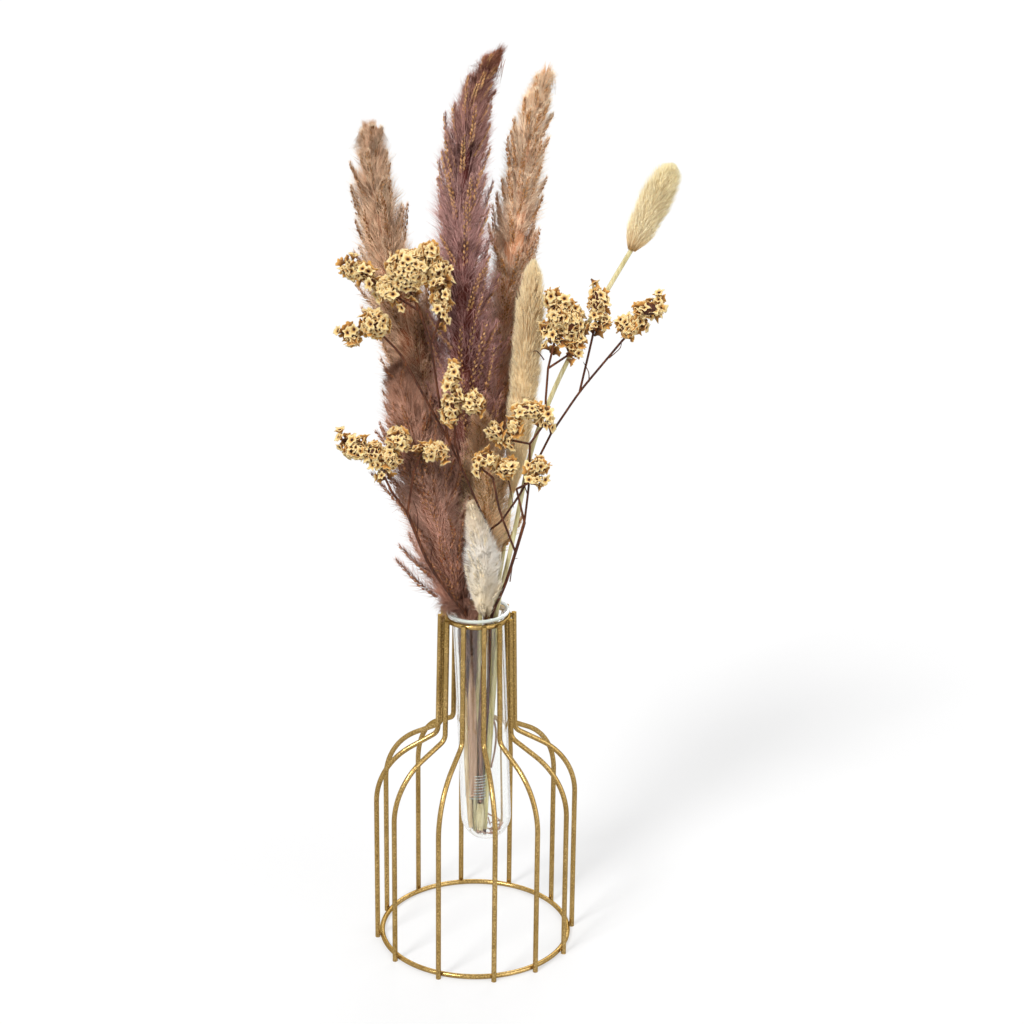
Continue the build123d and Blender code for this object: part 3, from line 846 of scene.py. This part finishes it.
# Statice florets: a papery five-lobed funnel on each floret solid, and more between and round them
floret_radius = 2.2 * mm
floret_length = 4.2 * mm
floret_corners = 20
floret_lobes = 5
lobe_depth = 0.2
edge_play = 0.07
crush_depth = 0.16
ruffle_depths = (0.07, 0.05, 0.6)
throat_height = 0.72
map_play = 0.015
petal_run = 0.9
# The star takes the ramp's darkest tone, painted shade in the throat
star_run = 0.99
star_corners = 10
star_reaches = (0.42, 0.17)
star_heights = (0.9, 0.85)
star_scale_range = (0.75, 1.15)

# Rings of the funnel, from its foot over the rim to its throat: reach, height and looseness
floret_profile_shares = (
    (0.26, 0.0, 0.0), (0.4, 0.34, 0.1), (0.68, 0.64, 0.4), (1.02, 0.85, 0.9), (1.3, 0.94, 1.3),
    (1.25, 0.99, 1.25), (0.86, 0.92, 0.8), (0.46, 0.83, 0.3), (0.2, 0.75, 0.0),
)


def floret_frames(node):
    """Foot and facing of each floret solid of a node, from its mesh."""
    mesh = node.data
    mesh.calc_loop_triangles()
    places = np.zeros(len(mesh.vertices) * 3, np.float32)
    mesh.vertices.foreach_get("co", places)
    corners = np.zeros(len(mesh.loop_triangles) * 3, np.int32)
    mesh.loop_triangles.foreach_get("vertices", corners)
    places, index = np.unique(np.round(places.reshape(-1, 3).astype(float), 7), axis=0, return_inverse=True)
    triangles = index.reshape(-1)[corners].reshape(-1, 3)
    labels = np.arange(len(places))
    changed = True
    while changed:
        lowest = labels[triangles].min(1)
        joined = labels.copy()
        for corner in range(3):
            np.minimum.at(joined, triangles[:, corner], lowest)
        changed = bool((joined != labels).any())
        labels = joined
    feet, facings = [], []
    for label in np.unique(labels):
        group = places[labels == label]
        middle = group.mean(0)
        values, axes = np.linalg.eigh(np.cov((group - middle).T))
        axis = axes[:, 0] if values[1] - values[0] > values[2] - values[1] else axes[:, 2]
        heights = (group - middle) @ axis
        if (heights**3).mean() > 0:
            axis, heights = -axis, -heights
        feet.append(middle + axis * heights.min())
        facings.append(axis)
    return np.array(feet), np.array(facings)


def ring_offsets(side, across, angles):
    """Directions at the angles, in each floret's own cross-section."""
    return side[:, None] * np.cos(angles)[..., None] + across[:, None] * np.sin(angles)[..., None]


def florets(feet, facings, scales, rng):
    """Papery funnels with ruffled lobes, and a dark star at each throat as painted shade in its hollow."""
    count = len(feet)
    side = unit(np.cross(facings, (0.3, 0.5, 0.81)))
    across = np.cross(facings, side)
    angles = 2 * pi * np.arange(floret_corners) / floret_corners
    spin = rng.uniform(0, 2 * pi, count)[:, None]
    offset = ring_offsets(side, across, angles[None] + spin)
    wave = rng.normal(0, edge_play, (count, floret_corners))
    phase = rng.uniform(0, 2 * pi, (count, 1))
    crush = 1 + crush_depth * np.sin(angles[None] * 2 + phase)
    fine, broad, chance_share = ruffle_depths
    rings = []
    for reach, height, loose in floret_profile_shares:
        lobes = 1 + lobe_depth * loose * np.cos(floret_lobes * angles)[None] + wave * loose
        frill = fine * np.sin(2 * floret_lobes * angles)[None] + broad * np.sin(3 * angles[None] + phase)
        ruffle = loose * (frill + wave * chance_share)
        radial = floret_radius * reach * lobes * (1 + (crush - 1) * min(loose, 1)) * scales[:, None]
        up = floret_length * (height + ruffle) * scales[:, None]
        rings.append(feet[:, None] + offset * radial[..., None] + facings[:, None] * up[..., None])
    levels = [number / (len(rings) - 1) for number in range(len(rings))]
    stand = facings[:, None] * floret_length
    throat = feet[:, None] + stand * throat_height * scales[:, None, None]
    vertices = np.concatenate(rings + [feet[:, None], throat], 1)
    last = len(rings) * floret_corners
    inner = last - floret_corners
    pattern = strips(len(rings), floret_corners)
    for corner in range(floret_corners):
        following = (corner + 1) % floret_corners
        pattern += [(last, following, corner), (inner + corner, inner + following, last + 1)]
    each = last + 2
    run = np.concatenate([np.repeat(levels, floret_corners), (0.0, 1.0)])
    chance = rng.uniform(0.02, 0.98, (count, 1))
    near = chance + map_play * rng.normal(0, 1, (count, each))
    petals = (vertices.reshape(-1, 3), copies(pattern, count, each))
    petals = mapped(petals, np.tile(run * petal_run, count), near.ravel())

    # A five-pointed star that stands in the throat, in the darkest tone as painted shade in its hollow
    angles = 2 * pi * np.arange(star_corners) / star_corners
    is_point = np.arange(star_corners) % 2 == 0
    reach = np.where(is_point, *star_reaches)[None] * rng.uniform(*star_scale_range, (count, 1))
    height = np.where(is_point, *star_heights)[None]
    radial = (floret_radius * reach * scales[:, None])[..., None]
    rim = feet[:, None] + ring_offsets(side, across, angles[None] + spin) * radial
    rim = rim + stand * (height * scales[:, None])[..., None]
    top = feet[:, None] + stand * star_heights[0] * scales[:, None, None]
    vertices = np.concatenate([rim, top, throat], 1)
    pattern = []
    for corner in range(star_corners):
        following = (corner + 1) % star_corners
        pattern += [(corner, following, star_corners), (following, corner, star_corners + 1)]
    each = star_corners + 2
    stars = (vertices.reshape(-1, 3), copies(pattern, count, each))
    return [petals, mapped(stars, star_run, np.repeat(chance, each))]


def floret_material():
    """Papery cream from a brown foot, with rims dried to tan; the foot is darkened further as painted shade
    between florets, and the throat as painted shade in its hollow.
    """
    made = Nodes("statice_paper")
    run, station = made.map_values()
    chance = made.chance(station, scale=613.0)
    # The lowest stops paint the shade between florets over the foot's own brown; the stops from 0.76 on
    # paint the shade down the throat.
    stops = [
        (0.0, "#2c1206"), (0.17, "#643210"), (0.32, "#c88e48"), (0.44, "#dcaa5c"), (0.52, "#f2e0b4"),
        (0.66, "#f0d898"), (0.76, "#c89a5a"), (0.86, "#54200c"), (1.0, "#35100a"),
    ]
    tone = made.ramp(run, stops)
    blush = made.spread(chance, low=0.0, high=0.26)
    blush = made.math("MULTIPLY", blush, made.math("LESS_THAN", run, 0.8))
    made.set(Base_Color=made.mix(blush, tone, colour("#cc9a4c")))
    made.set(Roughness=0.7, Specular_IOR_Level=0.25, Sheen_Weight=0.1)
    return made.owner


# Rounded masses of florets: centre, half width and half height of each
floret_mass_shares = {
    "blooms_upper_left": [
        (-0.553, -0.18, 0.640, 0.074, 0.0167),
        (-0.427, -0.19, 0.613, 0.056, 0.0204),
        (-0.323, -0.18, 0.644, 0.102, 0.0352),
        (-0.228, -0.19, 0.677, 0.047, 0.0148),
        (-0.187, -0.18, 0.645, 0.060, 0.0185),
        (-0.173, -0.18, 0.595, 0.047, 0.0259),
        (-0.470, -0.18, 0.550, 0.065, 0.0259),
        (-0.575, -0.18, 0.526, 0.037, 0.0148),
    ],
    "blooms_middle": [
        (-0.127, -0.23, 0.458, 0.037, 0.0204),
        (-0.131, -0.23, 0.405, 0.047, 0.0278),
        (-0.025, -0.23, 0.420, 0.047, 0.0204),
    ],
    "blooms_right": [
        (0.338, -0.13, 0.589, 0.045, 0.0204),
        (0.366, -0.14, 0.563, 0.056, 0.0259),
        (0.425, -0.13, 0.549, 0.060, 0.0352),
        (0.462, -0.13, 0.519, 0.037, 0.0167),
        (0.305, -0.12, 0.538, 0.028, 0.0148),
        (0.539, -0.13, 0.585, 0.037, 0.0278),
        (0.574, -0.13, 0.552, 0.023, 0.0111),
        (0.680, -0.13, 0.543, 0.051, 0.0185),
        (0.774, -0.13, 0.575, 0.070, 0.0148),
    ],
    "blooms_lower_left": [
        (-0.567, -0.20, 0.328, 0.060, 0.0167),
        (-0.484, -0.20, 0.325, 0.051, 0.0167),
        (-0.415, -0.20, 0.314, 0.051, 0.0204),
        (-0.367, -0.20, 0.350, 0.056, 0.0204),
        (-0.201, -0.20, 0.327, 0.056, 0.0167),
    ],
    "blooms_lower_right": [
        (0.082, -0.20, 0.362, 0.042, 0.0167),
        (0.238, -0.20, 0.402, 0.084, 0.0148),
        (0.170, -0.20, 0.373, 0.037, 0.0167),
        (0.041, -0.20, 0.313, 0.056, 0.0148),
        (0.135, -0.20, 0.297, 0.056, 0.0167),
        (0.275, -0.20, 0.299, 0.056, 0.0167),
    ],
}
neighbours_filled = 2
floret_cover = 9.4 * mm * mm
fewest_florets = 6
facing_play = 0.27
mass_depth_range = (0.8, 1.15)
mass_foot_play = 0.45 * mm
between_foot_play = 0.35 * mm
between_facing_play = 0.55
solid_scale_range = (0.75, 0.92)
between_scale_range = (0.5, 0.8)
mass_scale_range = (0.6, 0.92)


def mass_body(row):
    """Centre and half axes of a rounded mass of florets."""
    x, y, z, half_x, half_z = row
    wide, high = half_x * bunch_reach, half_z * bunch_height
    return in_bunch((x, y, z)), np.array((wide, min(wide, high), high))


def mass_florets(rows, rng):
    """Florets that face outwards all over rounded masses."""
    feet, facings = [], []
    for centre, half in map(mass_body, rows):
        area = 4 * pi * (half.prod() ** (2 / 3))
        count = max(int(area / floret_cover), fewest_florets)
        turn = np.arange(count) * golden_angle
        level = 1 - 2 * (np.arange(count) + 0.5) / count
        level = np.clip(level + rng.normal(0, 0.5 / count, count), -1, 1)
        flat = np.sqrt(1 - level**2)
        out = np.stack([flat * np.cos(turn), level, flat * np.sin(turn)], 1)
        facing = unit(out / half + rng.normal(0, facing_play, out.shape) / half.mean())
        depth = rng.uniform(*mass_depth_range, (count, 1))
        shift = rng.normal(0, mass_foot_play, out.shape)
        feet.append(centre + out * half + shift - facing * floret_length * depth)
        facings.append(facing)
    return np.concatenate(feet), np.concatenate(facings)


def florets_between(feet, facings, rng):
    """Florets halfway between each floret solid and its nearest neighbours."""
    gaps = np.linalg.norm(feet[:, None] - feet[None], axis=2)
    first = np.repeat(np.arange(len(feet)), neighbours_filled)
    second = np.argsort(gaps, axis=1)[:, 1 : neighbours_filled + 1].ravel()
    shift = rng.normal(0, between_foot_play, (len(first), 3))
    turn = between_facing_play * rng.normal(0, 1, shift.shape)
    return (feet[first] + feet[second]) / 2 + shift, unit(facings[first] + facings[second] + turn)


paper = floret_material()
for number, name in enumerate(key for key in nodes if key.startswith("blooms")):
    rng = np.random.default_rng(300 + number)
    solids = floret_frames(nodes[name])
    groups = [solids, florets_between(*solids, rng), mass_florets(floret_mass_shares[name], rng)]
    limits = (solid_scale_range, between_scale_range, mass_scale_range)
    scales = [rng.uniform(*limit, len(group[0])) for limit, group in zip(limits, groups)]
    feet, facings = (np.concatenate(rows) for rows in zip(*groups))
    parts = florets(feet, facings, np.concatenate(scales), rng)
    build_piece(f"{name}_papers", parts, paper, "bunch", [name])

# Dark rounded bodies inside each mass of florets: the brown tangle of stalks there, and painted shade
# between the florets
tangle_and_shade_share = 0.72
tangle_and_shade_parts = []
for rows in floret_mass_shares.values():
    for centre, half in map(mass_body, rows):
        tangle_and_shade_parts.append(egg(centre, np.diag(half * tangle_and_shade_share)))
build_piece("statice_tangles_and_shade", tangle_and_shade_parts, twig, "bunch")

# Tendrils and side twigs of the statice
tendril_width = 0.32 * mm
tendril_steps = 14
tendril_tip_share = 0.45
tendril_shares = (
    [(0.301, -0.13, 0.484), (0.282, -0.13, 0.494), (0.261, -0.13, 0.500), (0.247, -0.13, 0.497)],
    [(0.511, -0.13, 0.445), (0.508, -0.13, 0.463), (0.493, -0.13, 0.474), (0.481, -0.13, 0.482)],
    [(0.601, -0.13, 0.488), (0.628, -0.13, 0.497), (0.651, -0.13, 0.506), (0.659, -0.13, 0.522)],
    [
        (0.055, -0.08, 0.157), (0.0, -0.12, 0.162), (-0.027, -0.12, 0.177),
        (-0.03, -0.12, 0.196), (-0.013, -0.12, 0.211),
    ],
    [(0.156, -0.14, 0.077), (0.165, -0.12, 0.098), (0.174, -0.12, 0.117), (0.196, -0.12, 0.119)],
    [(-0.177, -0.185, 0.08), (-0.220, -0.20, 0.124), (-0.215, -0.20, 0.147), (-0.201, -0.20, 0.162)],
    [(-0.285, -0.205, 0.17), (-0.285, -0.20, 0.215), (-0.304, -0.20, 0.237)],
    [(0.140, -0.20, 0.279), (0.150, -0.20, 0.262), (0.169, -0.18, 0.22)],
    [(-0.38, -0.205, 0.24), (-0.429, -0.20, 0.275), (-0.443, -0.20, 0.299)],
    [(0.235, -0.19, 0.245), (0.215, -0.20, 0.272), (0.215, -0.20, 0.285)],
)
paths = np.stack([smooth_line(in_bunch(row), tendril_steps) for row in tendril_shares])
tendrils = needles(paths, tendril_width * np.linspace(1, tendril_tip_share, tendril_steps), sides=6)
build_piece("statice_tendrils", [mapped(tendrils, tendrils[2], 0.5)], twig, "bunch")

# Fluff of the lowest plume inside the tube, and the tuft that hangs over the lip
rng = np.random.default_rng(400)
tube_fluff_line = np.array(((-2.2, -2.4, 128), (-3.0, -2.6, 150), (-4.2, -3.0, 168), (-6.5, -3.6, 186))) * mm
tube_fluff_radius = 7.4 * mm
tube_fluff_steps = 40
tube_fluff_shares = ((0.0, 0.25), (0.3, 0.7), (0.6, 1.0), (1.0, 0.95))
tube_fluff_hairs = 9000
tuft_hairs = 420
tuft_taper = np.array((1.0, 0.8, 0.0))

# Each point of the tuft's hairs, from the one before it, and the play of that step
tuft_moves = (
    ((-8.0, -4.0, 181.5), (1.6, 2.6, 1.2)),
    ((-5.0, -1.2, 1.4), (1.6, 1.6, 1.3)),
    ((-3.6, -0.6, -2.6), (1.4, 1.5, 2.2)),
)
spine = framed(smooth_line(tube_fluff_line, tube_fluff_steps))
tube_floss = grow_floss(spine, tube_fluff_shares, tube_fluff_radius, int(tube_fluff_hairs * fullness), rng)
count = int(tuft_hairs * fullness)
place = np.zeros((count, 3))
places = []
for move, play in tuft_moves:
    place = place + np.array(move) * mm + rng.normal(0, 1, (count, 3)) * np.array(play) * mm
    places.append(place)
tuft = needles(np.stack(places, 1), hair_width * tuft_taper)
tuft = mapped(tuft, tuft[2], rng.uniform(0.1, 0.9, count)[tuft[3]])
# Dark roots paint the shade deep in the fluff, besides the fibres' darker bases
fluff_roots = [(0.0, "#6e4436"), (1.0, "#764434")]
fluff_tips = [(0.0, "#b98c78"), (1.0, "#cb9c86")]
fluff = fibre_material("tube_fluff", fluff_roots, fluff_tips)
build_piece("tube_fluff", [tube_floss, tuft], fluff, "bunch")

# Leaf sheaths round the stems in the tube: width, three tones and line of each, in mm
sheath_wall = 0.28 * mm
sheath_curl = radians(75)
sheath_steps = 28
sheath_ribs = 9
sheath_end_share = 0.65
sheaths = {
    "mauve_sheath": (
        4.6,
        ("#a27c60", "#c8a284", "#e4c8aa"),
        ((-1.2, -4.5, 79), (-1.5, -4.6, 105), (-2.2, -4.5, 130), (-3.0, -4.8, 156)),
    ),
    "tan_sheath": (
        3.0,
        ("#c09c6c", "#e4c898", "#f6e4bf"),
        ((-2.4, -3.5, 61), (-3.4, -3.7, 80), (-4.3, -3.5, 100), (-4.6, -3.0, 138)),
    ),
    "dark_sheath": (
        2.6,
        ("#5c3e2e", "#8a6450", "#aa8670"),
        ((2.4, -4.3, 76), (2.2, -4.4, 110), (1.6, -4.0, 150)),
    ),
    "pale_sheath": (
        4.2,
        ("#b8a878", "#dccf9e", "#f0e6c4"),
        ((2.3, -4.9, 60.5), (2.3, -5.1, 68), (2.2, -5.0, 75.5)),
    ),
    "olive_sheath": (
        2.9,
        ("#a89e60", "#d3c88e", "#ece3b6"),
        ((4.6, -3.2, 60), (5.4, -3.5, 85), (7.0, -3.4, 118), (8.8, -3.4, 148), (9.8, -3.2, 172)),
    ),
}
for name, (width, tones, line) in sheaths.items():
    spine = framed(smooth_line(np.array(line) * mm, sheath_steps))
    half = width * mm / 2
    curve_radius = half / sin(sheath_curl)
    angles = np.linspace(-sheath_curl, sheath_curl, sheath_ribs)
    swell = np.sin(np.linspace(0.2, pi, sheath_steps))[:, None]
    taper = sheath_end_share + (1 - sheath_end_share) * swell
    layers = []
    for depth in (0.0, sheath_wall):
        out = np.sin(angles) * (curve_radius - depth) * taper
        forth = (np.cos(angles) - cos(sheath_curl)) * (curve_radius - depth) * taper
        layer = spine["place"][:, None] + spine["across"][:, None] * out[..., None]
        layers.append(kept_in_bore(layer + spine["side"][:, None] * forth[..., None]))
    ring = np.concatenate([layers[0], layers[1][:, ::-1]], 1)
    each = ring.shape[1]
    triangles = strips(sheath_steps, each)
    for first, flip in ((0, 1), ((sheath_steps - 1) * each, -1)):
        for corner in range(sheath_ribs - 1):
            a, b = first + corner, first + corner + 1
            c, d = first + each - 2 - corner, first + each - 1 - corner
            triangles += [(a, b, c)[::flip], (a, c, d)[::flip]]
    run = np.repeat(np.linspace(0, 1, sheath_steps), each)
    turn = np.tile(np.linspace(0, 1, each), sheath_steps)
    leaf = stalk_material(f"{name}_leaf", *tones)
    sheath = mapped((ring.reshape(-1, 3), np.array(triangles)), run, turn)
    build_piece(name, [sheath], leaf, "bunch")

# A dark stem bent round inside the tube
bent_stem_line = (
    (5.0, -3.8, 127), (7.5, -3.6, 123), (9.6, -3.4, 114.5), (9.2, -3.8, 105), (7.4, -4.4, 95),
)
bent_stem_radius = 0.5 * mm
bent_stem_steps = 30
line = smooth_line(np.array(bent_stem_line) * mm, bent_stem_steps)[None]
stem = tubes(line, bent_stem_radius, sides=8)
build_piece("bent_stem", [mapped(stem, stem[2], 0.5)], reed, "bunch")

# Fine clear thread wound round the bundle, a little slack
thread_turns = 9
thread_steps = 24
thread_pitch = 1.55 * mm
thread_radius = 0.24 * mm
thread_rise = 10.3 * mm
thread_foot = bulb_centre[2] + thread_rise
thread_reach = 5.95 * mm
ripple = 0.12 * mm
ripples_per_turn = 6
drift = 0.05 * mm
drifts_per_turn = 0.37
turns = np.linspace(0, thread_turns, thread_turns * thread_steps)
slack = ripple * np.cos(ripples_per_turn * 2 * pi * turns) + drift * np.sin(2 * pi * turns * drifts_per_turn)
line = np.stack([
    bundle_centre + (thread_reach + slack) * np.cos(2 * pi * turns),
    (thread_reach + slack) * np.sin(2 * pi * turns),
    thread_foot + thread_pitch * turns,
], 1)[None]
thread = tubes(line, thread_radius, sides=6)
thread = mapped(thread, thread[2], 0.5)
pale = (0.9, 0.93, 0.86, 1)
clear_thread = plain_material(
    "clear_thread", Base_Color=pale, Roughness=0.2, Transmission_Weight=0.3, IOR=1.4
)
build_piece("thread_tie", [thread], clear_thread, "bunch", ["stem_binding"])

# Broken bits of straw that lie on the round bottom
rng = np.random.default_rng(500)
bit_count = 34
bit_radius = 0.36 * mm
bit_half_range = (1.2, 3.2)
bit_gap_range = (0.9, 1.8)
bit_angle_range = (radians(12), radians(68))
lean = rng.uniform(*bit_angle_range, bit_count)
turn = rng.uniform(0, 2 * pi, bit_count)
down = np.stack([np.sin(lean) * np.cos(turn), np.sin(lean) * np.sin(turn), -np.cos(lean)], 1)
middle = bulb_centre + down * (bore_radius - rng.uniform(*bit_gap_range, bit_count)[:, None] * mm)
heading = unit(np.cross(down, unit(rng.normal(0, 1, (bit_count, 3)))))
half = rng.uniform(*bit_half_range, bit_count)[:, None] * mm
bend = -down * half * half / bore_radius
paths = np.stack([middle - heading * half + bend, middle, middle + heading * half + bend], 1)
reach = np.linalg.norm(paths - bulb_centre, axis=2, keepdims=True)
paths = bulb_centre + (paths - bulb_centre) * np.minimum(1, (bore_radius - bore_margin) / reach)
bits = tubes(paths, bit_radius, sides=5)
bits = mapped(bits, bits[2], rng.uniform(0, 1, bit_count)[bits[3]])
bit_roots = [(0.0, "#ab7052"), (1.0, "#d0a88c")]
bit_tips = [(0.0, "#c89274"), (1.0, "#ecd0b8")]
straw_bits = fibre_material("straw_bits", bit_roots, bit_tips)
build_piece("straw_bits", [bits], straw_bits, "tube")

# Weld spots where each wire crosses a ring
weld_size = np.array((0.95, 1.0, 0.8)) * mm
weld_parts = []
for number in range(wire_count):
    angle = radians(first_wire_angle + number * 360 / wire_count + wire_drift_angles[number])
    out = np.array((sin(angle), -cos(angle), 0))
    beside = np.array((cos(angle), sin(angle), 0))
    axes = np.stack([beside, out, np.array((0, 0, 1))]) * weld_size[:, None]
    for radius, height in ((base_ring_radius, base_ring_height), (top_ring_radius, top_ring_height)):
        weld_parts.append(egg(out * (radius + wire_radius) + np.array((0, 0, height)), axes))
build_piece("weld_spots", weld_parts, weld_gold, "cage")

# Fire-polished lip of the tube: its thick glass looks milky from outside
lip_radius = 14.6 * mm
lip_bead = 0.9 * mm
lip_steps = 96
lip_sides = 12
lip_y = np.array((0.0, 1.0, 0.0))
lip_x = np.cross(lip_y, tube_axis)
vertices = []
for step in range(lip_steps):
    turn = 2 * pi * step / lip_steps
    out = lip_x * cos(turn) + lip_y * sin(turn)
    for side in range(lip_sides):
        around = 2 * pi * side / lip_sides
        place = mouth + out * (lip_radius + lip_bead * cos(around))
        vertices.append(place + tube_axis * lip_bead * sin(around))
triangles = np.array(strips(lip_steps + 1, lip_sides)) % len(vertices)
milky = (0.78, 0.84, 0.78, 1)
lip_glass = plain_material("lip_glass", Base_Color=milky, Roughness=0.12, Transmission_Weight=0.35, IOR=1.3)
lip = mapped((np.array(vertices), triangles), 0.5, 0.5)
build_piece("lip_polish", [lip], lip_glass, "tube")

# Camera at the photograph's place
ahead = np.array((-sin(camera_yaw), cos(camera_yaw), 0))
level_right = np.array((cos(camera_yaw), sin(camera_yaw), 0))
level_up = ahead * sin(camera_pitch) + np.array((0, 0, cos(camera_pitch)))
forward = ahead * cos(camera_pitch) - np.array((0, 0, sin(camera_pitch)))
right = cos(camera_roll) * level_right - sin(camera_roll) * level_up
up = sin(camera_roll) * level_right + cos(camera_roll) * level_up
camera = bpy.data.objects.new("camera", bpy.data.cameras.new("camera"))
bpy.context.scene.collection.objects.link(camera)
turned = Matrix((right, up, -forward)).transposed().to_4x4()
camera.matrix_world = Matrix.Translation(camera_place) @ turned
camera.data.sensor_width = sensor_width
camera.data.lens = sensor_width * focal_pixels / photo_pixels
camera.data.clip_start = 10 * mm
bpy.context.scene.camera = camera

# Floor and world, which the camera, gloss and glass see as nearly white
floor_size = 24.0
floor_tone = 0.35
floor_glow = 0.53
world_glow = 0.52

made = Nodes("floor_white")
made.set(Base_Color=(floor_tone, floor_tone, floor_tone, 1), Roughness=0.9, Specular_IOR_Level=0.0)
made.set(Emission_Strength=made.math("MULTIPLY", made.seen(), floor_glow), Emission_Color=(1, 1, 1, 1))
floor_mesh = bpy.data.meshes.new("floor")
half = floor_size / 2
corners = [(-half, -half, 0), (half, -half, 0), (half, half, 0), (-half, half, 0)]
floor_mesh.from_pydata(corners, [], [(0, 1, 2, 3)])
floor = bpy.data.objects.new("floor", floor_mesh)
floor_mesh.materials.append(made.owner)
bpy.context.scene.collection.objects.link(floor)

studio = Nodes("studio", bpy.data.worlds, "Background")
studio.set(Strength=studio.spread(studio.seen(), low=world_glow, high=1.0), Color=(1, 1, 1, 1))
bpy.context.scene.world = studio.owner

# Lamps: place, strength and angle
lamps = {
    "key": ((-0.9, -1.2, 1.5), 2.4, 14),
    "fill": ((1.2, -1.0, 0.7), 1.2, 60),
    "back": ((0.3, 1.2, 1.1), 0.9, 40),
}
for name, (place, strength, spread_angle) in lamps.items():
    data = bpy.data.lights.new(name, "SUN")
    data.angle = radians(spread_angle)
    data.energy = strength
    lamp = bpy.data.objects.new(name, data)
    lamp.location = place
    lamp.rotation_euler = (-Vector(place)).to_track_quat("-Z", "Y").to_euler()
    bpy.context.scene.collection.objects.link(lamp)

bpy.context.scene.view_settings.view_transform = "Standard"
